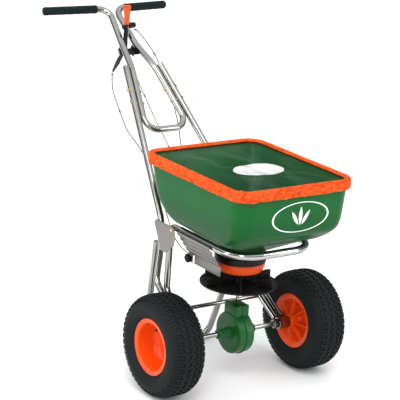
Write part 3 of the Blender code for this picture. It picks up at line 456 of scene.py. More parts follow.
world = bpy.data.worlds.new("white tent with a dark skirt")
world.use_nodes = True
sky = world.node_tree
direction = sky.nodes.new("ShaderNodeTexCoord").outputs["Generated"]
parts = sky.nodes.new("ShaderNodeSeparateXYZ")
sky.links.new(direction, parts.inputs[0])
ramp = sky.nodes.new("ShaderNodeValToRGB")
sky.links.new(parts.outputs["Z"], ramp.inputs["Fac"])
stops = ((0.0, 0.22), (0.14, 0.06), (0.30, 0.10), (0.42, 0.62), (0.62, 1.00), (1.0, 1.00))
for place, level in stops[1:-1]:
    ramp.color_ramp.elements.new(place)
for element, (place, level) in zip(ramp.color_ramp.elements, stops):
    element.position = place
    element.color = (level * 0.97, level * 0.985, level, 1)
sky.links.new(ramp.outputs["Color"], sky.nodes["Background"].inputs["Color"])
sky.nodes["Background"].inputs["Strength"].default_value = 1.35
bpy.context.scene.world = world
bpy.context.scene.view_settings.view_transform = "Standard"


def lamp(name, place, target, size, power, colour=(1, 1, 1)):
    bpy.ops.object.light_add(type="AREA", location=place)
    light = bpy.context.object
    light.name = name
    light.data.shape = "RECTANGLE"
    light.data.size, light.data.size_y = size
    light.data.energy = power
    light.data.color = colour
    light.rotation_euler = (Vector(target) - Vector(place)).to_track_quat("-Z", "Y").to_euler()


lamp("key softbox", (-3.4, -3.4, 2.6), (0, -0.2, 0.5), (1.0, 2.4), 60, (1, 0.985, 0.96))
lamp("side strip", (-3.6, 0.4, 1.6), (0, -0.1, 0.6), (0.7, 2.6), 40)
lamp("fill strip", (2.6, -3.4, 1.7), (0, -0.1, 0.5), (0.7, 2.4), 40, (0.96, 0.98, 1))
bpy.ops.object.light_add(type="SUN", rotation=(math.radians(32), 0, math.radians(-30)))
bpy.context.object.data.energy = 0.9
bpy.context.object.data.angle = math.radians(25)
print("camera looks along", [round(v, 3) for v in looking])

# %% [markdown]
# ## Tubes
# A bent tube is a round section that follows a line with rounded corners. A curve with a bevel depth
# gives exactly that, and turning it into a mesh lets its ends be opened: each end cap is inset by the
# wall and pushed inwards, so the tube shows its hollow. The rounding of a corner is an arc that leaves
# the two straight runs at the same distance from the corner.

# %% Bend a line and sweep a tube
def flow(a, b, c, d, t):
    """A share t of the way from b to c on a smooth curve through four values."""
    return 0.5 * (2 * b + (c - a) * t + (2 * a - 5 * b + 4 * c - d) * t * t
                  + (3 * b - a - 3 * c + d) * t ** 3)


def bent(points, radii, per_bend=12):
    """Round the inner corners of a line, with one bend radius or one for each corner."""
    points = [Vector(p) for p in points]
    line = [points[0]]
    if isinstance(radii, float):
        radii = [radii] * (len(points) - 2)
    for before, corner, after, radius in zip(points, points[1:], points[2:], radii):
        back = (before - corner).normalized()
        ahead = (after - corner).normalized()
        half = back.angle(ahead) / 2
        room = 0.49 * min((before - corner).length, (after - corner).length)
        reach = min(radius / math.tan(half), room)
        bend = reach * math.tan(half)
        middle = corner + (back + ahead).normalized() * bend / math.sin(half)
        first = corner + back * reach - middle
        last = corner + ahead * reach - middle
        sweep = first.angle(last)
        steps = max(3, round(per_bend * sweep / (math.pi / 2)))
        for k in range(steps + 1):
            share = k / steps
            line.append(middle + first * (math.sin((1 - share) * sweep) / math.sin(sweep))
                        + last * (math.sin(share * sweep) / math.sin(sweep)))
    line.append(points[-1])
    return line


def smooth_line(points, step=0.012):
    """A flowing line through route points, as a cable takes between its clips."""
    points = [Vector(p) for p in points]
    ends = [2 * points[0] - points[1]] + points + [2 * points[-1] - points[-2]]
    line = []
    for a, b, c, d in zip(ends, ends[1:], ends[2:], ends[3:]):
        steps = max(2, round((c - b).length / step))
        line += [flow(a, b, c, d, k / steps) for k in range(steps)]
    line.append(points[-1])
    return line


def mirrored(half):
    """A route that runs down one side and back up the other."""
    return [flip(p, -1) for p in half] + half[::-1]


def swept(line, radius, resolution=6, widths=None):
    """A round section along a line, made a mesh, with flat closed ends."""
    deselect()
    bpy.ops.curve.primitive_nurbs_path_add()
    path = bpy.context.object
    path.data.splines.clear()
    run = path.data.splines.new("POLY")
    run.points.add(len(line) - 1)
    for k, (point, place) in enumerate(zip(run.points, line)):
        point.co = (*place, 1)
        point.radius = widths[k] if widths else 1.0
    path.location = (0, 0, 0)
    path.data.bevel_depth = radius
    path.data.bevel_resolution = resolution
    path.data.use_fill_caps = True
    path.data.resolution_u = 1
    bpy.ops.object.convert(target="MESH")
    piece = bpy.context.object
    edit()
    bpy.ops.mesh.remove_doubles(threshold=1e-6)
    leave(outward=True)
    return piece


def opened(piece, wall=0.0016, depth=0.03):
    """Open the flat ends of a swept tube."""
    pick(piece)
    edit("DESELECT")
    leave()
    for face in piece.data.polygons:
        face.select = len(face.vertices) > 8
    bpy.ops.object.mode_set(mode="EDIT")
    bpy.ops.mesh.select_mode(type="FACE")
    bpy.ops.mesh.inset(thickness=wall, use_individual=True)
    bpy.ops.mesh.extrude_region_shrink_fatten(TRANSFORM_OT_shrink_fatten={"value": -depth})
    leave()
    return piece


def flip(point, side):
    return Vector((point[0] * side, point[1], point[2]))


SIDES = (("left", 1), ("right", -1))

# %% [markdown]
# ## Rails, handle, struts and stand
# Two rails run from beside the hopper to the handle, and bend in below to meet the axle housings. The
# handle is one tube: grip, leg, cross bend, leg, grip. All are 22 mm tube, and the loop under the
# hopper is a little thicker. The corner points below are the bends' sharp corners.

# %% Sweep the frame's tubes
TUBE_R = 0.011
BEARING_R = 0.020
WELD = BEARING_R + 0.0013
RAIL = ((0.068, 0.628, 0.910), (0.161, 0.223, 0.497), (0.162, 0.216, 0.400), (0.183, 0.200, 0.300))
STRUT = ((0.151, 0.1203, 0.490), (0.151, 0.181, 0.490), (0.160, 0.171, 0.275))
GRIP_END = Vector((0.243, 0.890, 1.060))
GRIP_CORNER = Vector((0.012, 0.846, 1.065))
LEG_HIGH = Vector((0.027, 0.722, 0.962))


def at_housing(before, x):
    """The point where a tube that aims at the axle stops short of the bearing housing."""
    aim = Vector((x, 0, AXLE_Z))
    return aim + (Vector(before) - aim).normalized() * WELD


def frame_tube(name, node, route, bends):
    tube = opened(swept(bent(route, bends), TUBE_R, 7))
    settle(tube, name, "frame", [node], tube_steel)


for word, s in SIDES:
    for kind, corners, end_x, bend in (("rail", RAIL, 0.1985, 0.045), ("strut", STRUT, 0.1755, 0.030)):
        route = [flip(p, s) for p in (*corners, at_housing(corners[-1], end_x))]
        frame_tube(f"{word}_{kind}_tube", f"{word}_{kind}", route, bend)

rail_run = (Vector(RAIL[1]) - Vector(RAIL[0])).normalized()
leg_offset = Vector((-0.0235, 0.002, -0.002))
leg_offset -= rail_run * leg_offset.dot(rail_run)
leg_top = Vector(RAIL[0]) + leg_offset
cross_corner = leg_top + rail_run * ((leg_top.z - 0.730) / -rail_run.z)
half = [GRIP_END, GRIP_CORNER, LEG_HIGH, leg_top, cross_corner]
bends = (0.043, 0.200, 0.200, 0.045)
frame_tube("handle_bent_tube", "handle_tube", mirrored(half), bends + bends[::-1])

route = [(-0.151, 0.120, 0.490), (-0.151, -0.195, 0.490), (0.151, -0.195, 0.490), (0.151, 0.120, 0.490)]
settle(opened(swept(bent(route, 0.090, 18), 0.0125, 8)), "hopper_loop_tube", "frame", ["hopper_loop"],
       loop_steel)
half = [Vector((0.1625, 0.2405, 0.420)), Vector((0.165, 0.244, 0.340)), Vector((0.130, 0.335, TUBE_R))]
frame_tube("stand_tube", "stand", mirrored(half), 0.050)
low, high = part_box("cross_tube")
centre = (low + high) / 2 - Vector((0, AXLE_Y, 0))
ends = [Vector((low[0], centre.y, centre.z)), Vector((high[0], centre.y, centre.z))]
settle(opened(swept(ends, 0.007, 6), 0.0016, 0.01), "cross_tube_round", "frame", ["cross_tube"],
       tube_steel)

# %% [markdown]
# ## Turned pieces
# Grips, housings, rims, rings and knobs are all turned on a lathe or moulded round, so one tool makes
# them: a circle with as many corners as the outline is pulled into the outline's shape, and Spin turns
# it about the axis. Normals are made consistent afterwards, because a spin can come out inside out.

# %% Turn an outline about an axis
def square_to(axis):
    """A direction square to an axis."""
    other = Vector((0, 0, 1)) if abs(axis.z) < 0.9 else Vector((1, 0, 0))
    return axis.cross(other).normalized()


def turned(outline, start, axis, steps=64):
    """Spin a closed outline of (along, out) points about an axis through the start."""
    start = Vector(start)
    axis = Vector(axis).normalized()
    side = square_to(axis)
    piece = polygon([start + axis * along + side * out for along, out in outline])
    edit()
    bpy.ops.mesh.spin(steps=steps, angle=2 * math.pi, center=start, axis=axis)
    bpy.ops.mesh.select_all(action="SELECT")
    bpy.ops.mesh.remove_doubles(threshold=1e-5)
    bpy.ops.mesh.dissolve_degenerate(threshold=1e-6)
    bpy.ops.mesh.select_all(action="SELECT")
    bpy.ops.mesh.delete_loose(use_verts=True, use_edges=True, use_faces=False)
    bpy.ops.mesh.select_all(action="SELECT")
    leave(outward=True)
    return piece


def round_copies(piece, steps, centre, axis):
    """Repeat a piece round an axis; the copies join the piece's own mesh."""
    pick(piece)
    edit()
    bpy.ops.mesh.spin(steps=steps - 1, angle=2 * math.pi * (steps - 1) / steps, dupli=True,
                      center=centre, axis=axis)
    leave()
    return piece


def arc(centre, radius, first, last, steps=6):
    """Outline points round an arc, in degrees from the along direction."""
    points = []
    for k in range(steps + 1):
        a = math.radians(first + (last - first) * k / steps)
        points.append((centre[0] + radius * math.cos(a), centre[1] + radius * math.sin(a)))
    return points


# %% [markdown]
# ## Foam grips
# Each grip is a foam sleeve pushed on to the tube's end. Its outer end is closed and rounded. Foam is
# never quite straight, so the outline swells and dips by half a millimetre along its length.

# %% Turn the grips
grip_axis = (GRIP_END - GRIP_CORNER).normalized()
grip_from = GRIP_CORNER + grip_axis * 0.044
grip_length = (GRIP_END - grip_from).length
GRIP_R = 0.0145
sleeve = [(0, TUBE_R + 0.0002), (0.0008, GRIP_R - 0.0015), (0.003, GRIP_R - 0.0002)]
for k in range(1, 24):
    along = grip_length * k / 24
    sleeve.append((along, GRIP_R - 0.0003 + 0.0003 * math.sin(k * 1.7)))
sleeve += arc((grip_length - 0.0025, GRIP_R - 0.0065), 0.0063, 90, 0, 6)
sleeve += [(grip_length + 0.0038, 0), (grip_length + 0.0004, 0), (grip_length + 0.0004, TUBE_R + 0.0002)]
for word, s in SIDES:
    grip = turned(sleeve, flip(grip_from, s), flip(grip_axis, s), 40)
    settle(grip, f"{word}_foam_grip", "frame", [f"{word}_grip"], foam, 50)

# %% [markdown]
# ## Bolts and nuts
# A hexagon head starts as a six-sided cylinder with its edges softened. The thread is turned as a row
# of small ridges, which at this size looks the same as a helix and is far lighter.

# %% Make a bolt with its nut
def hexagon(start, axis, radius, height):
    deselect()
    axis = Vector(axis).normalized()
    turn = axis.to_track_quat("Z", "Y").to_euler()
    bpy.ops.mesh.primitive_cylinder_add(vertices=6, radius=radius, depth=height,
                                        location=Vector(start) + axis * height / 2, rotation=turn)
    piece = bpy.context.object
    bpy.ops.object.transform_apply(location=True, rotation=True, scale=True)
    return softened(piece, 0.0006, 2)


def bolted(start, through, radius=0.003, head=0.0060, tall=0.0038):
    start, through = Vector(start), Vector(through)
    axis = through.normalized()
    length = through.length
    ridges = [(0, radius)]
    tip = length + 0.0062
    ridge = length * 0.72
    while ridge < tip - 0.001:
        ridges += [(ridge, radius), (ridge + 0.0004, radius - 0.0003)]
        ridge += 0.0008
    shank = turned([(0, 0), *ridges, (tip, radius - 0.0006), (tip, 0)], start, axis, 16)
    washer = turned([(-0.0006, 0.001), (-0.0006, head + 0.0004), (0, head + 0.0004), (0, 0.001)], start,
                    axis, 24)
    head_piece = hexagon(start - axis * tall, axis, head, tall - 0.0006)
    nut = hexagon(start + axis * length, axis, head, tall)
    return joined(shank, washer, head_piece, nut)


push = leg_offset.normalized()
edge = TUBE_R + 0.0003
for level, height in (("upper", 0.843), ("lower", 0.810)):
    for word, s in SIDES:
        at_rail = Vector(RAIL[0]) + rail_run * ((RAIL[0][2] - height) / -rail_run.z)
        piece = bolted(flip(at_rail - push * edge, s), flip(leg_offset + push * 2 * edge, s))
        settle(piece, f"{word}_{level}_handle_screw", "frame", [f"{word}_handle_bolt_{level}"],
               yellow_zinc)
GUSSET_X = 0.162 + TUBE_R + 0.0006
for word, s in SIDES:
    start = Vector(((GUSSET_X + 0.0023) * s, 0.138, 0.490))
    piece = bolted(start, Vector((-(GUSSET_X + 0.0026 - 0.151 + TUBE_R) * s, 0, 0)))
    settle(piece, f"{word}_gusset_screw", "frame", [f"{word}_gusset_bolt"], yellow_zinc)

# %% [markdown]
# ## Turf tyres
# The tyre is a turned carcass with fine rings on its sidewalls. On it stand tread blocks: S-shaped
# blocks in three rows round the middle, narrow bars between them, and lugs that run over the
# shoulders. One pitch of the tread is modelled flat, bent on to the tyre, and Spin repeats it round
# the wheel as copies.

# %% Shape of the tyre
TYRE_R = 0.165
TRACK = 0.553
PITCHES = 46
CROWN = ((0.0, 0.1612), (0.020, 0.1610), (0.036, 0.1592), (0.046, 0.1556), (0.053, 0.1502),
         (0.0585, 0.1410), (0.0612, 0.1300))
BARS_AND_LUGS = ((0.0034, (-0.36, 0.0340), (0.02, 0.0340), (0.02, 0.0405), (-0.36, 0.0405)),
                 (0.0034, (0.12, 0.0345), (0.46, 0.0345), (0.46, 0.0395), (0.12, 0.0395)),
                 (0.0032, (-0.40, 0.0430), (-0.02, 0.0430), (0.06, 0.0560), (-0.30, 0.0560)),
                 (0.0032, (0.12, 0.0435), (0.44, 0.0435), (0.50, 0.0515), (0.20, 0.0515)))
WHEELS = (("drive_wheel", -1, "drive_axle"), ("coast_wheel", 1, "coast_wheel"))


def crown_at(across):
    """The carcass's radius at a distance from its middle plane."""
    across = min(abs(across), CROWN[-1][0])
    for (x0, r0), (x1, r1) in zip(CROWN, CROWN[1:]):
        if across <= x1:
            return r0 + (r1 - r0) * (across - x0) / (x1 - x0)
    return CROWN[-1][1]


def block_on(outline, height, sink=0.0012):
    """A tread block: a flat outline of (round, across) laid on the carcass and raised."""
    points = []
    for around, across in outline:
        turn = around / TYRE_R
        out = crown_at(across) - sink
        points.append((across, out * math.sin(turn), out * math.cos(turn)))
    piece = polygon(points, "NGON")
    edit()
    bpy.ops.mesh.extrude_region_move()
    leave()
    for vertex in piece.data.vertices:
        if vertex.select:
            x, y, z = vertex.co
            out = math.hypot(y, z)
            steep = 1.0 if abs(x) < 0.040 else 0.55
            grow = (out + (height + sink) * steep) / out
            sideways = (height + sink) * 0.75 * math.copysign(1, x) if steep < 1 else 0
            vertex.co = (x + sideways, y * grow, z * grow)
    edit()
    leave(outward=True)
    return piece


def tread_pitch():
    """All the blocks of one pitch of the tread."""
    pitch = 2 * math.pi * TYRE_R / PITCHES
    s_shape = ((-0.42, -1.0), (-0.10, -1.0), (-0.10, -0.25), (0.42, -0.25), (0.42, 1.0), (0.10, 1.0),
               (0.10, 0.25), (-0.42, 0.25))
    blocks = []
    for centre, shift, hand in ((0.0, 0.0, 1), (-0.0235, 0.5, -1), (0.0235, 0.5, -1)):
        outline = [((u + shift) * pitch, centre + hand * v * 0.0088) for u, v in s_shape]
        blocks.append(block_on(outline[::hand], 0.0036))
    for hand in (1, -1):
        for height, *corners in BARS_AND_LUGS:
            blocks.append(block_on([(u * pitch, hand * v) for u, v in corners][::hand], height))
    return joined(*blocks)


def tyre():
    """A tyre about the X axis at the origin."""
    tread = round_copies(tread_pitch(), PITCHES, (0, 0, 0), (1, 0, 0))
    half = list(CROWN)
    half += [(0.0619, 0.1270), (0.0612, 0.1225), (0.0618, 0.1217), (0.0610, 0.1208), (0.0598, 0.1160),
             (0.0592, 0.1120), (0.0598, 0.1110), (0.0588, 0.1100), (0.0560, 0.1040), (0.0535, 0.0995),
             (0.0540, 0.0982), (0.0528, 0.0972), (0.0500, 0.0940), (0.0475, 0.0915), (0.0465, 0.0835),
             (0.0400, 0.0812), (0.0380, 0.0835), (0.0430, 0.0930), (0.0535, 0.1150), (0.0545, 0.1280),
             (0.0480, 0.1460), (0.0300, 0.1550)]
    outline = half + [(-x, r) for x, r in half[::-1] if x > 0]
    return joined(turned(outline, (0, 0, 0), (1, 0, 0), 112), tread)


# %% Make the two tyres
for prefix, s, body in WHEELS:
    piece = tyre()
    piece.data.transform(Matrix.Translation((s * TRACK / 2, 0, AXLE_Z)))
    settle(piece, f"{prefix}_turf_tyre", body, [f"{prefix}_tyre"], tyre_rubber, 28)

# %% [markdown]
# ## Dished rims
# The rim is moulded in one piece: a flange that holds the bead, a barrel, a deep dish with the hub in
# its middle, and on the inner side eight thin ribs that tie the hub to the barrel. The round part is
# turned, and one rib is drawn as a flat plate and copied round by Spin.

# %% Draw a flat plate
def plate(outline, through, edge=0.0, segments=2):
    """A flat outline of points, extruded along a vector, with its edges softened."""
    piece = polygon(outline, "NGON")
    edit()
    bpy.ops.mesh.extrude_region_move(TRANSFORM_OT_translate={"value": tuple(through)})
    bpy.ops.mesh.select_all(action="SELECT")
    leave(outward=True)
    return softened(piece, edge, segments) if edge else piece

# %% Make the rims and valves
AXLE_R = 0.008
RIM_OUTLINE = ((-0.064, AXLE_R + 0.0006), (-0.064, 0.0185), (-0.0625, 0.0200), (-0.034, 0.0212),
               (-0.0285, 0.0250), (-0.0260, 0.0400), (-0.0290, 0.0560), (-0.0370, 0.0660),
               (-0.0440, 0.0715), (-0.0465, 0.0760), (-0.0480, 0.0820), (-0.0500, 0.0880),
               (-0.0500, 0.0905), (-0.0485, 0.0909), (-0.0470, 0.0895), (-0.0462, 0.0810),
               (-0.0455, 0.0800), (0.0455, 0.0800), (0.0462, 0.0810), (0.0470, 0.0895),
               (0.0485, 0.0909), (0.0500, 0.0905), (0.0502, 0.0880), (0.0485, 0.0830),
               (0.0478, 0.0775), (0.0455, 0.0752), (0.0400, 0.0742), (0.0180, 0.0726),
               (0.0020, 0.0706), (-0.0080, 0.0672), (-0.0150, 0.0610), (-0.0190, 0.0500),
               (-0.0205, 0.0380), (-0.0190, 0.0290), (-0.0155, 0.0245), (-0.0140, 0.0215),
               (-0.0130, 0.0200), (-0.0126, AXLE_R + 0.0006))
for prefix, s, body in WHEELS:
    middle = Vector((s * TRACK / 2, 0, AXLE_Z))
    rim = turned(RIM_OUTLINE, middle, (s, 0, 0), 96)
    rib_outline = [middle + Vector((s * u, 0.0012, r)) for u, r in
                   ((-0.058, 0.0195), (-0.030, 0.0205), (-0.0275, 0.0500), (-0.038, 0.0680),
                    (-0.0445, 0.0740), (-0.0465, 0.0735))]
    ribs = plate(rib_outline, (0, -0.0024, 0), 0.0007)
    joined(rim, round_copies(ribs, 8, middle, (1, 0, 0)))
    settle(rim, f"{prefix}_dished_rim", body, [f"{prefix}_rim"], orange_moulding, 30)
    stem = Vector((s * 0.5, 0, -1)).normalized()
    foot = middle + Vector((s * 0.020, 0, 0.0716))
    outline = [(0, 0), (0, 0.0062), (0.0012, 0.0062), (0.0030, 0.0040), (0.0120, 0.0032)]
    outline += [(0.0125 + 0.0008 * k, 0.0030 - 0.0003 * (k % 2)) for k in range(8)]
    outline += [(0.0190, 0.0034), (0.0235, 0.0034), (0.0242, 0.0026), (0.0242, 0)]
    settle(turned(outline, foot, stem, 24), f"{prefix}_valve_stem", body, [f"{prefix}_valve"],
           black_moulding)

# %% [markdown]
# ## Keeping a plain piece of the frame
# Many small parts already have the right shape and only lack soft edges. `kept` copies such a node,
# welds its loose triangles, dissolves the flat ones back into whole faces, and bevels what is sharp.

# %% Refine a node
def kept(node, body, finish, edge=0.0004, segments=2):
    deselect()
    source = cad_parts[node]
    source.select_set(True)
    bpy.context.view_layer.objects.active = source
    bpy.ops.object.duplicate()
    piece = bpy.context.object
    piece.parent = None
    edit()
    bpy.ops.mesh.remove_doubles(threshold=1e-5)
    bpy.ops.mesh.dissolve_limited(angle_limit=math.radians(1))
    leave()
    piece.data.transform(Matrix.Translation((0, -AXLE_Y, 0)))
    softened(piece, edge, segments, 40)
    return settle(piece, f"{node}_dressed", body, [node], finish)


# %% [markdown]
# ## Axle, housings and collars
# The axle runs in two welded housings. A set collar with a small screw keeps it from sliding, and a
# pressed cap holds each wheel. All are turned.

# %% Make the axle's fittings
def span(node):
    """How far from the middle plane a piece starts, and how wide it is."""
    low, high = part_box(node)
    return min(abs(low[0]), abs(high[0])), high[0] - low[0]


low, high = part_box("axle")
rod_end = high[0]
outline = [(0, 0), (0, AXLE_R - 0.001), (0.001, AXLE_R), (2 * rod_end - 0.001, AXLE_R),
           (2 * rod_end, AXLE_R - 0.001), (2 * rod_end, 0)]
settle(turned(outline, (-rod_end, 0, AXLE_Z), (1, 0, 0), 40), "axle_rod", "drive_axle", ["axle"],
       axle_steel)
for word, s in SIDES:
    inner, width = span(f"{word}_bearing")
    outline = [(0, AXLE_R + 0.0006), (0, BEARING_R - 0.0012), (0.0012, BEARING_R),
               (width - 0.0012, BEARING_R), (width, BEARING_R - 0.0012), (width, 0.0125),
               (width - 0.002, 0.0120), (width - 0.002, AXLE_R + 0.0006)]
    housing = turned(outline, (inner * s, 0, AXLE_Z), (s, 0, 0), 48)
    settle(housing, f"{word}_bearing_housing", "frame", [f"{word}_bearing"], tube_steel)
    inner, width = span(f"{word}_axle_collar")
    outline = [(0, AXLE_R + 0.0004), (0, 0.0138), (0.0012, 0.0150), (width - 0.0012, 0.0150),
               (width, 0.0138), (width, AXLE_R + 0.0004)]
    collar = turned(outline, (inner * s, 0, AXLE_Z), (s, 0, 0), 40)
    screw = turned([(0, 0), (0, 0.0026), (0.0014, 0.0026), (0.0014, 0.0012), (0.0006, 0.0010),
                    (0.0006, 0)], ((inner + width / 2) * s, -0.0145, AXLE_Z), (0, -1, 0), 16)
    settle(joined(collar, screw), f"{word}_set_collar", "drive_axle", [f"{word}_axle_collar"],
           axle_steel)
    inner, width = span(f"{word}_axle_cap")
    outline = [(0, AXLE_R + 0.0004), (0, 0.0128), (0.0015, 0.0130), (0.0042, 0.0118), (0.0058, 0.0095),
               (0.0060, AXLE_R + 0.0004)]
    settle(turned(outline, (inner * s, 0, AXLE_Z), (s, 0, 0), 40), f"{word}_push_cap", "drive_axle",
           [f"{word}_axle_cap"], loop_steel)
kept("drive_pin", "drive_axle", loop_steel, 0.0003)

# %% [markdown]
# ## Gearbox
# Two half shells meet on a flange round the bevel gears. A square tower on top carries the spinner's
# shaft. Each half is turned, hollow, and then joined to its half of the tower.

# %% Make a box with soft edges
def brick(low, high, edge=0.001, segments=3):
    deselect()
    low, high = Vector(low), Vector(high)
    bpy.ops.mesh.primitive_cube_add(size=1, location=(low + high) / 2, scale=high - low)
    bpy.ops.object.transform_apply(location=True, rotation=True, scale=True)
    return softened(bpy.context.object, edge, segments)


# %% Make the gearbox halves
BOX_R = 0.070
for word, s in SIDES:
    half_outline = [(0.00015, 0.0640), (0.00015, BOX_R + 0.0030), (0.0026, BOX_R + 0.0030),
                    (0.0032, BOX_R + 0.0022), (0.0034, BOX_R), (0.0245, BOX_R - 0.0012)]
    half_outline += arc((0.0235, BOX_R - 0.0070), 0.0056, 80, 10, 5)
    half_outline += [(0.0290, 0.0400), (0.0292, 0.0230), (0.0310, 0.0195), (0.0340, 0.0178),
                     (0.0680, 0.0168), (0.0695, 0.0158), (0.0697, AXLE_R + 0.0008),
                     (0.0250, AXLE_R + 0.0008), (0.0250, 0.0630)]
    shell = turned(half_outline, (0, 0, AXLE_Z), (s, 0, 0), 96)
    near, far = sorted((0.00035 * s, 0.0258 * s))
    tower = brick((near, -0.0328, 0.2225), (far, 0.0328, 0.2618), 0.0022)
    shaft_bore = turned([(0, 0), (0, 0.0056), (0.08, 0.0056), (0.08, 0)], (0, 0, 0.20), (0, 0, 1), 24)
    combined(shell, combined(tower, shaft_bore, "DIFFERENCE"))
    settle(shell, f"gearbox_{word}_shell", "frame", [f"gearbox_{word}_half"],
           green_case, 30)
outline = [(0, 0.0057), (0, 0.0100), (0.0070, 0.0092), (0.0100, 0.0080), (0.0106, 0.0070), (0.0106, 0.0057)]
seal = turned(outline, (0, 0, 0.2623), (0, 0, 1), 32)
settle(seal, "shaft_lip_seal", "frame", ["shaft_seal"], green_case)
for node, body in (("crown_gear", "drive_axle"), ("pinion", "spinner")):
    kept(node, body, axle_steel, 0.0002, 1)

# %% [markdown]
# ## Spinner
# The spinner throws the granules. It is a flat disc with a rolled rim and six curved fins that stand
# higher at their outer ends. One fin is a sheet of points given a thickness; Spin repeats it.

# %% Lay a sheet of points
def laid(rows, closed=False):
    """A grid whose rows of points are put where they belong; a closed one joins its two ends."""
    deselect()
    across, along = len(rows[0]), len(rows)
    bpy.ops.mesh.primitive_grid_add(x_subdivisions=across - 1, y_subdivisions=along - 1, size=1,
                                    location=(0, 0, 0))
    piece = bpy.context.object
    flat = [point for row in rows for point in row]
    for vertex, place in zip(piece.data.vertices, flat):
        vertex.co = place
    if closed:
        edit()
        bpy.ops.mesh.remove_doubles(threshold=1e-6)
        leave(outward=True)
    return piece


# %% Make the spinner
SPIN_R, SPIN_Z, FIN_TOP = 0.124, 0.330, 0.365
SHAFT_R = 0.005
outline = [(0, SHAFT_R + 0.0004), (0, SPIN_R - 0.004), (-0.0002, SPIN_R - 0.001), (0.0004, SPIN_R + 0.0012),
           (0.0030, SPIN_R + 0.0020), (0.0058, SPIN_R + 0.0012), (0.0062, SPIN_R - 0.001),
           (0.0044, SPIN_R - 0.003), (0.0040, 0.090), (0.0046, 0.040), (0.0060, 0.0220), (0.0080, 0.0185),
           (0.0216, 0.0142), (0.0228, 0.0130), (0.0230, SHAFT_R + 0.0004)]
disc = turned(outline, (0, 0, SPIN_Z), (0, 0, 1), 96)
rows = []
for k in range(13):
    share = k / 12
    out = 0.0155 + (SPIN_R - 0.0175) * share
    turn = math.radians(4 - 16 * share + 10 * share * share)
    top = SPIN_Z + 0.020 + (FIN_TOP - SPIN_Z - 0.022) * min(1, max(0, (share - 0.08) / 0.72)) ** 1.3
    if share > 0.92:
        top -= 0.003
    rows.append([Vector((out * math.cos(turn), out * math.sin(turn),
                         SPIN_Z + 0.003 + (top - SPIN_Z - 0.003) * v / 3)) for v in range(4)])
fin = laid(rows)
applied(fin, "SOLIDIFY", thickness=0.0034, offset=0)
softened(fin, 0.0009, 2)
joined(disc, round_copies(fin, 6, (0, 0, 0), (0, 0, 1)))
settle(disc, "finned_spinner", "spinner", ["spinner_disc"], spinner_black, 30)
low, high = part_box("spinner_shaft")
outline = [(0, 0), (0, SHAFT_R - 0.0006), (0.0008, SHAFT_R), (high[2] - low[2] - 0.002, SHAFT_R),
           (high[2] - low[2], SHAFT_R - 0.0016), (high[2] - low[2], 0)]
settle(turned(outline, (0, 0, low[2]), (0, 0, 1), 32), "spinner_rod", "spinner", ["spinner_shaft"],
       axle_steel)
kept("spinner_pin", "spinner", loop_steel, 0.0003)
kept("agitator", "spinner", loop_steel, 0.0004)

# %% [markdown]
# ## The rings under the hopper
# A black ring hangs from the hopper's neck. Inside it turn the shut-off plate and the orange metering
# ring, whose stepped skirt shows below. The holes for the granules are cut with a Boolean.

# %% Make the rings
def cut_outlets(piece, z):
    """The three round holes that the granules fall through."""
    for angle in (-150, -90, -30):
        a = math.radians(angle)
        peg = turned([(0, 0), (0, 0.012), (0.03, 0.012), (0.03, 0)],
                     (0.050 * math.cos(a), 0.050 * math.sin(a), z), (0, 0, 1), 32)
        combined(piece, peg, "DIFFERENCE")


low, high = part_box("port_ring")
NECK_Z = 0.432
base = low[2]
outline = [(0, 0.0766), (0, 0.0826), (0.0012, 0.0832), (0.0085, 0.0832), (0.0092, 0.0826), (0.0098, 0.0832),
           (0.0195, 0.0832), (0.0206, 0.0824), (0.0206, 0.0766)]
ring_piece = turned(outline, (0, 0, base), (0, 0, 1), 96)
slot_cut = brick((-0.036, 0.05, 0.4235), (0.036, 0.12, 0.445), 0.0002, 1)
combined(ring_piece, slot_cut, "DIFFERENCE")
settle(ring_piece, "neck_port_ring", "frame", ["port_ring"], black_moulding, 30)
kept("shutoff_plate", "shutoff_plate_body", galvanised, 0.0003, 1)

plate_z = NECK_Z - 0.001 - 0.003
meter_z = plate_z - 0.0005 - 0.003
skirt = 0.4102
outline = [(meter_z + 0.003, 0.0058), (meter_z + 0.003, 0.0752), (skirt + 0.0004, 0.0752),
           (skirt, 0.0806), (skirt - 0.0012, 0.0812), (skirt - 0.0120, 0.0808), (skirt - 0.0132, 0.0800),
           (skirt - 0.0140, 0.0770), (skirt - 0.0148, 0.0762), (skirt - 0.0260, 0.0752),
           (skirt - 0.0290, 0.0735), (0.3792, 0.0712), (0.3790, 0.0690), (0.3800, 0.0680),
           (meter_z - 0.004, 0.0705), (meter_z - 0.0004, 0.0640), (meter_z, 0.0620), (meter_z, 0.0058)]
meter = turned(outline, (0, 0, 0), (0, 0, 1), 96)
cut_outlets(meter, 0.41)
tab = brick((0.070, -0.006, meter_z), (0.0978, 0.006, meter_z + 0.003), 0.0006, 2)
tab.data.transform(Matrix.Rotation(math.radians(75), 4, "Z"))
settle(joined(meter, tab), "stepped_metering_ring", "metering_ring_body", ["metering_ring"],
       orange_moulding, 30)

# %% [markdown]
# ## The hopper
# A moulded tub: a round neck at the bottom, a funnel that turns from round to square, and a tall body
# with soft corners. It is a stack of level rings laid as one closed skin, down the outside, over the
# floor of the neck, and up the inside. The rings between the corner levels follow a smooth curve, so
# that the shoulder rolls over the way a moulding does. The outlets are cut afterwards.

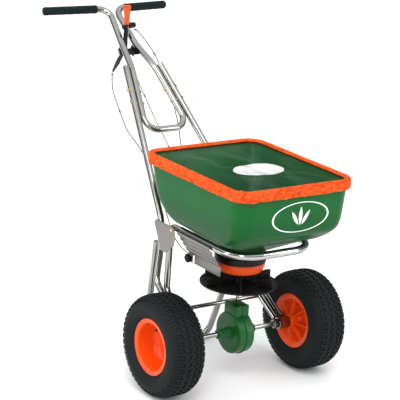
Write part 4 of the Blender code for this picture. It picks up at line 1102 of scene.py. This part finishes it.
# %% Lay the hopper's skin
def level_ring(z, hx, front, back, radius, corner=14, straight=10):
    """Points round a rounded rectangle at one height, with the first repeated at the end."""
    ring = []
    quarters = ((1, back, 0), (-1, back, 90), (-1, front, 180), (1, front, 270))
    for sx, end, start in quarters:
        inset = radius if end == front else -radius
        for k in range(corner + 1):
            a = math.radians(start + 90 * k / corner)
            ring.append(Vector((sx * (hx - radius) + radius * math.cos(a),
                                end + inset + radius * math.sin(a), z)))
    dense = []
    for k, point in enumerate(ring):
        after = ring[(k + 1) % len(ring)]
        dense.append(point)
        if (k + 1) % (corner + 1) == 0:
            dense += [point.lerp(after, j / straight) for j in range(1, straight)]
    return dense + [dense[0].copy()]


def eased(rows, steps):
    """Rows of numbers joined by a smooth curve through every row."""
    rows = [rows[0]] + list(rows) + [rows[-1]]
    out = []
    for a, b, c, d in zip(rows, rows[1:], rows[2:], rows[3:]):
        for k in range(steps):
            out.append(tuple(flow(*four, k / steps) for four in zip(a, b, c, d)))
    return out + [rows[-1]]


NECK_R = 0.080
WALL = 0.004
NECK = ((0.4335, NECK_R - 0.0012, -NECK_R + 0.0012, NECK_R - 0.0012, NECK_R - 0.0022),
        (0.4345, NECK_R, -NECK_R, NECK_R, NECK_R - 0.001), (0.446, 0.0812, -0.0812, 0.0812, 0.079))
SHOULDER = ((0.458, 0.083, -0.083, 0.083, 0.080), (0.506, 0.150, -0.1685, 0.138, 0.060),
            (0.530, 0.186, -0.2150, 0.165, 0.056), (0.565, 0.200, -0.2555, 0.200, 0.052),
            (0.600, 0.206, -0.266, 0.220, 0.050))
BODY = ((0.650, 0.2100, -0.2682, 0.2346, 0.050), (0.700, 0.2139, -0.2704, 0.2493, 0.050),
        (0.7115, 0.2147, -0.2708, 0.2527, 0.050), (0.7150, 0.2142, -0.2703, 0.2530, 0.050),
        (0.716, 0.2130, -0.2690, 0.2520, 0.049))
outer = [*NECK, *eased(SHOULDER, 5), *BODY]


def bore_ring(z):
    """The hole for the shaft, with its points in line with the ring round it."""
    ring = level_ring(z, NECK_R, -NECK_R, NECK_R, NECK_R - 0.001)
    return [Vector((0.0062 * v.x / 0.08, 0.0062 * v.y / 0.08, z)) for v in ring]


rows = [bore_ring(0.432),
        level_ring(0.432, NECK_R - 0.002, -NECK_R + 0.002, NECK_R - 0.002, NECK_R - 0.003)]
rows += [level_ring(*level) for level in outer]
for z, hx, front, back, radius in reversed(outer):
    lift = 0.0 if z > 0.60 else WALL * 0.6
    rows.append(level_ring(z + lift, hx - WALL, front + WALL, back - WALL, radius - WALL))
rows.append(bore_ring(0.4364))
rows.append(rows[0])
tub = laid([[p.copy() for p in row] for row in rows], True)
cut_outlets(tub, 0.425)
settle(tub, "moulded_hopper", "frame", ["hopper"], hopper_green, 30)

# %% [markdown]
# ## The cover
# A clear vinyl sheet is stretched over the rim and sewn to an elastic hem. The hem is gathered, so its
# surface is a run of small folds that are deepest at the loose lower edge; layered noise that changes
# quickly along the hem and slowly down it gives that. A twist of spare cloth stands out at one corner.
# The vinyl has shallow wrinkles that fade out where the hem pulls it tight.

# %% Stretch the vinyl
FILM_Z = RIM_Z + 0.0021
rows = []
FILM_RINGS = 44
outline = level_ring(FILM_Z, HOPPER_HX, HOPPER_FRONT, HOPPER_BACK, 0.050, 12, 30)
middle = Vector((0, (HOPPER_FRONT + HOPPER_BACK) / 2, FILM_Z))
for k in range(FILM_RINGS + 1):
    share = k / FILM_RINGS
    row = []
    for point in outline:
        place = middle.lerp(point, share)
        slack = 1 - share ** 5
        fold = (noise.noise((place.x * 13, place.y * 5, 1.5))
                + 0.5 * noise.noise((place.x * 30, place.y * 12, 7.0)))
        crease = 1 - abs(noise.noise((place.x * 9 + place.y * 4, place.y * 7, 4.2))) * 2.6
        place.z += slack * (0.0030 * fold + 0.0022 * max(0.0, crease) - 0.0042)
        row.append(place)
    rows.append(row)
film = laid(rows, True)
applied(film, "SOLIDIFY", thickness=0.0005, offset=0)
settle(film, "vinyl_cover", "hopper_cover", ["cover_film"], clear_vinyl, 60)

# %% Gather the hem
HEM_LOW = RIM_Z - 0.022
HEM_HIGH = HEM_LOW + 0.035
HEM_SECTION = ((0.0008, HEM_LOW + 0.0010), (0.0040, HEM_LOW - 0.0006), (0.0078, HEM_LOW + 0.0002),
               (0.0098, HEM_LOW + 0.0030), (0.0104, HEM_LOW + 0.0080), (0.0106, HEM_LOW + 0.0130),
               (0.0107, HEM_LOW + 0.0180), (0.0107, HEM_LOW + 0.0230), (0.0104, HEM_LOW + 0.0275),
               (0.0092, HEM_LOW + 0.0315), (0.0062, HEM_HIGH - 0.0010), (0.0020, HEM_HIGH),
               (-0.0040, HEM_HIGH - 0.0006), (-0.0088, HEM_HIGH - 0.0032), (-0.0106, HEM_HIGH - 0.0070),
               (-0.0080, RIM_Z + 0.0035), (0.0008, RIM_Z + 0.0035))
loop = level_ring(0, HOPPER_HX, HOPPER_FRONT, HOPPER_BACK, 0.050, 40, 150)
run = [0.0]
for a, b in zip(loop, loop[1:]):
    run.append(run[-1] + (b - a).length)
rows = []
for k in range(len(HEM_SECTION) + 1):
    offset, z = HEM_SECTION[k % len(HEM_SECTION)]
    free = min(1.0, max(0.0, (HEM_HIGH - z) / 0.030))
    face = 1.0 if offset > 0.006 else 0.35 if offset > 0.001 else 0.0
    ring = level_ring(z, HOPPER_HX + offset, HOPPER_FRONT - offset, HOPPER_BACK + offset, 0.050 + offset,
                      40, 150)
    row = []
    for place, length in zip(ring, run):
        turn = 2 * math.pi * length / run[-1]
        around = Vector((math.cos(turn), math.sin(turn))) * 6.0
        pleat = noise.noise((around.x * 3.6, around.y * 3.6, z * 16))
        pleat += 0.55 * noise.noise((around.x * 8.0, around.y * 8.0, z * 40 + 5))
        pleat += 0.30 * noise.noise((around.x * 17.0, around.y * 17.0, z * 90 + 9))
        outward = place - loop[len(row)]
        outward.z = 0
        outward = outward.normalized() if offset > 0 else Vector()
        deep = 0.0030 * (0.45 + 0.75 * free) * face
        sag = 0.0020 * noise.noise((around.x * 2.1, around.y * 2.1, 3.3)) if z < HEM_LOW + 0.004 else 0
        place = place + outward * (deep * pleat) + Vector((0, 0, sag))
        row.append(place)
    row[-1] = row[0].copy()
    rows.append(row)
hem = laid(rows, True)
corner = Vector((-HOPPER_HX + 0.012, HOPPER_FRONT + 0.010, HEM_HIGH - 0.012))
knots = []
for k, (lean, tall, reach) in enumerate(((0.5, 0.020, 0.016), (-0.4, 0.015, 0.020), (0.1, 0.010, 0.024))):
    tip = Vector((-reach * (0.7 + 0.3 * lean), -reach * (0.7 - 0.3 * lean), tall * 0.45))
    route = [corner, corner + tip * 0.5 + Vector((0, 0, tall * 0.5)), corner + tip,
             corner + tip * 0.55 - Vector((0, 0, tall * 0.55))]
    line = smooth_line(route, 0.0015)
    widths = [0.65 + 0.5 * math.sin(math.pi * j / (len(line) - 1))
              + 0.2 * noise.noise((j * 0.6, k * 4.0, 0.3)) for j in range(len(line))]
    knots.append(swept(line, 0.0042, 5, widths))
settle(joined(hem, *knots), "gathered_hem", "hopper_cover", ["cover_hem"], hem_cloth, 50)

# %% [markdown]
# ## Gussets and the side deflector
# Two small plates tie the loop to the rails. The deflector is one bent sheet with pressed ribs along
# it; each rib is a smooth hump in the outline, and the outline is extruded across the sheet.

# %% Press the sheets
for word, s in SIDES:
    kept(f"{word}_gusset", "frame", galvanised, 0.0005, 2)
hinge, lip_top = Vector((-0.170, 0, 0.492)), Vector((-0.120, 0, 0.418))
GUARD_FRONT, GUARD_BACK, LIP_LOW, LIP_END = -0.064, 0.116, 0.388, 0.080
SHEET_T = 0.0016
fall = (lip_top - hinge).normalized()
outward = Vector((fall.z, 0, -fall.x))
if outward.x > 0:
    outward = -outward
spine = []
RIBS = 4
for k in range(RIBS):
    for j in range(12):
        share = j / 12
        hump = math.sin(math.pi * min(1, max(0, (share - 0.14) / 0.72))) ** 0.7
        spine.append(hinge.lerp(lip_top, (k + share) / RIBS) + outward * 0.0032 * hump)
spine.append(lip_top)
section = [p + Vector((0, GUARD_FRONT, 0)) for p in spine]
section += [p + Vector((0, GUARD_FRONT, 0)) + outward * SHEET_T for p in reversed(spine)]
guard = plate(section, (0, GUARD_BACK - GUARD_FRONT, 0))
lip_x, lip_z = lip_top.x - SHEET_T, lip_top.z + 0.001
lip = brick((lip_x, GUARD_FRONT, LIP_LOW), (lip_top.x, LIP_END, lip_z), 0.0005, 2)
tongue = brick((lip_x, 0.090, 0.385), (lip_top.x, GUARD_BACK, lip_z), 0.0005, 2)
bead = swept([Vector((lip_top.x - 0.0012, GUARD_FRONT + 0.001, LIP_LOW + 0.001)),
              Vector((lip_top.x - 0.0012, LIP_END - 0.001, LIP_LOW + 0.001))], 0.0015, 4)
stud = turned([(-0.004, 0), (-0.004, 0.0042), (0.010, 0.0042), (0.0104, 0.0034), (0.0104, 0)],
              (lip_top.x - 0.003, 0.0995, 0.412), (-0.3, 0, 1), 20)
settle(joined(guard, lip, tongue, bead, stud), "ribbed_side_deflector", "side_deflector_body",
       ["side_deflector"], galvanised, 30)


# %% Shape the clamp knob
def lobed(piece, centre, axis, count, deep, from_radius):
    """Push a turned piece in and out in waves round its axis, beyond a given radius."""
    axis = Vector(axis).normalized()
    side = square_to(axis)
    third = axis.cross(side)
    for vertex in piece.data.vertices:
        offset = vertex.co - Vector(centre)
        along = axis * offset.dot(axis)
        out = offset - along
        if out.length > from_radius:
            turn = math.atan2(out.dot(third), out.dot(side))
            vertex.co = Vector(centre) + along + out * (1 + deep * (math.cos(count * turn) - 1) / 2)
    return piece


KNOB_AT = (-0.1221, 0.103, 0.4005)
outline = [(-0.010, 0), (-0.010, 0.0024), (-0.0092, 0.003), (0.0002, 0.003), (0.0002, 0.0090),
           (0.0030, 0.0104), (0.0040, 0.0136), (0.0052, 0.0146), (0.0130, 0.0146), (0.0146, 0.0136),
           (0.0152, 0.0110), (0.0170, 0.0095), (0.0180, 0.0070), (0.0182, 0)]
knob = lobed(turned(outline, KNOB_AT, (-1, 0, 0), 84), KNOB_AT, (-1, 0, 0), 7, 0.22, 0.0095)
settle(knob, "lobed_clamp_knob", "deflector_knob_body", ["deflector_knob"],
       black_moulding, 30)

# %% [markdown]
# ## Hand controls
# Between the handle's legs a small bracket carries one pin. A straight lever with a flared orange grip
# works the shut-off plate, and a curved blade with a ball works the deflector's cable. A round dial on
# the leg sets how far the metering ring opens.

# %% Make the levers
kept("lever_bracket", "frame", black_moulding, 0.0009, 3)
kept("lever_pivot", "frame", tube_steel, 0.0004)
kept("shutoff_lever", "shutoff_lever_body", black_moulding, 0.0008, 3)
kept("deflector_lever", "deflector_lever_body", black_moulding, 0.0007, 3)
climb = GRIP_CORNER - leg_top
climb = Vector((0, climb.y, climb.z)).normalized()
PIVOT = Vector((0, LEG_HIGH.y, LEG_HIGH.z)) + Vector((0, climb.z, -climb.y)) * 0.032
lever_line = Vector((0, 0.745, 1.096)) - PIVOT
tip = lever_line.length
lever_up = lever_line.normalized()
lever_back = Vector((1, 0, 0)).cross(lever_up)
half_outline = [(0.0058, 0.092), (0.0062, 0.108), (0.0072, 0.118), (0.0092, tip - 0.016),
                (0.0112, tip - 0.005), (0.0106, tip - 0.001), (0.0080, tip)]
points = half_outline + [(-x, u) for x, u in reversed(half_outline)]
flare = plate([PIVOT + lever_up * u + Vector((x, 0, 0)) - lever_back * 0.0088 for x, u in points],
              lever_back * 0.0176, 0.0034, 5)
settle(flare, "flared_lever_grip", "shutoff_lever_body", ["lever_grip"],
       orange_moulding, 40)

low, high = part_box("deflector_lever_knob")
ball_at = (low + high) / 2 - Vector((0, AXLE_Y, 0))
ball_up = (ball_at - Vector((ball_at.x, PIVOT.y, PIVOT.z))).normalized()
outline = [(-0.0079, 0), (-0.0080, 0.0034), (-0.0076, 0.0046)] + arc((0, 0), 0.009, 148, 0, 18)
settle(turned(outline, ball_at, ball_up, 40), "black_ball_knob", "deflector_lever_body",
       ["deflector_lever_knob"], black_moulding, 40)

kept("rate_bracket", "frame", black_moulding, 0.0012, 3)
RATE_AT = (0.046, 0.787, 1.016)
outline = [(-0.003, 0), (-0.003, 0.0026), (-0.0026, 0.003), (0.0007, 0.003), (0.0007, 0.0094),
           (0.0012, 0.0100), (0.0100, 0.0098), (0.0135, 0.0092), (0.0150, 0.0076), (0.0162, 0.0062),
           (0.0170, 0.0044), (0.0172, 0)]
dial = lobed(turned(outline, RATE_AT, (1, 0, 0), 96), RATE_AT, (1, 0, 0), 16, 0.10, 0.0088)
settle(dial, "ribbed_rate_dial", "rate_knob_body", ["rate_knob"], black_moulding, 30)

# %% [markdown]
# ## Cables
# Three brake-type cables run from the hand controls down to the plates and the deflector. Each route is
# a smooth line through the places where the cable is held, swept with a round section. A ferrule ends
# the sheath at both ends, and two collars sit on it where it is held.

# %% Run the cables
CABLE_R = 0.0016


def run_cable(name, node, route, finish, collars=()):
    line = smooth_line(route, 0.008)
    pieces = [swept(line, CABLE_R, 4)]
    for end, after in ((line[0], line[3]), (line[-1], line[-4])):
        axis = (after - end).normalized()
        pieces.append(turned([(0, 0), (0, 0.0022), (0.0006, 0.0026), (0.0090, 0.0026), (0.0100, 0.0019),
                              (0.0100, 0)], end, axis, 20))
    for place in collars:
        k = min(range(1, len(line) - 1), key=lambda j: (line[j] - Vector(route[place])).length)
        axis = (line[k + 1] - line[k - 1]).normalized()
        pieces.append(turned([(-0.006, 0), (-0.006, 0.0021), (-0.005, 0.0027), (0.005, 0.0027),
                              (0.006, 0.0021), (0.006, 0)], line[k], axis, 20))
    settle(joined(*pieces), name, "frame", [node], finish, 40)
    print(name, "is", round(sum((b - a).length for a, b in zip(line, line[1:])), 3), "m long")


def tab_pull(side, low):
    """Where a cable ends, just past the end of a plate's tab."""
    angle = math.pi / 2 + side * math.radians(15)
    return (0.1045 * math.cos(angle), 0.1045 * math.sin(angle), low + 0.0015)


run_cable("rate_control_cable", "rate_cable",
          [(0.0545, 0.778, 1.0035), (0.060, 0.752, 0.993), (0.085, 0.690, 0.931), (0.090, 0.618, 0.851),
           (0.088, 0.566, 0.790), (0.074, 0.500, 0.720), (0.060, 0.457, 0.664), (0.045, 0.360, 0.560),
           (0.034, 0.250, 0.478), (0.028, 0.150, 0.436), tab_pull(-1, meter_z)], black_sheath, (2, 5))
run_cable("shutoff_control_cable", "shutoff_cable",
          [PIVOT - lever_up * 0.0292, (0.010, 0.708, 0.879), (0.014, 0.630, 0.803), (0.018, 0.544, 0.720),
           (0.016, 0.467, 0.662), (0.005, 0.360, 0.555), (-0.010, 0.250, 0.478), (-0.022, 0.150, 0.440),
           tab_pull(1, plate_z)], grey_sheath, (2, 4))
run_cable("deflector_control_cable", "deflector_cable",
          [(-0.009, 0.8085, 0.845), (-0.028, 0.775, 0.818), (-0.050, 0.727, 0.795), (-0.080, 0.634, 0.755),
           (-0.104, 0.545, 0.714), (-0.102, 0.460, 0.668), (-0.100, 0.370, 0.598), (-0.105, 0.290, 0.510),
           (-0.112, 0.210, 0.432), (-0.110, 0.140, 0.405), (-0.108, 0.1005, 0.409)], black_sheath, (3, 6))
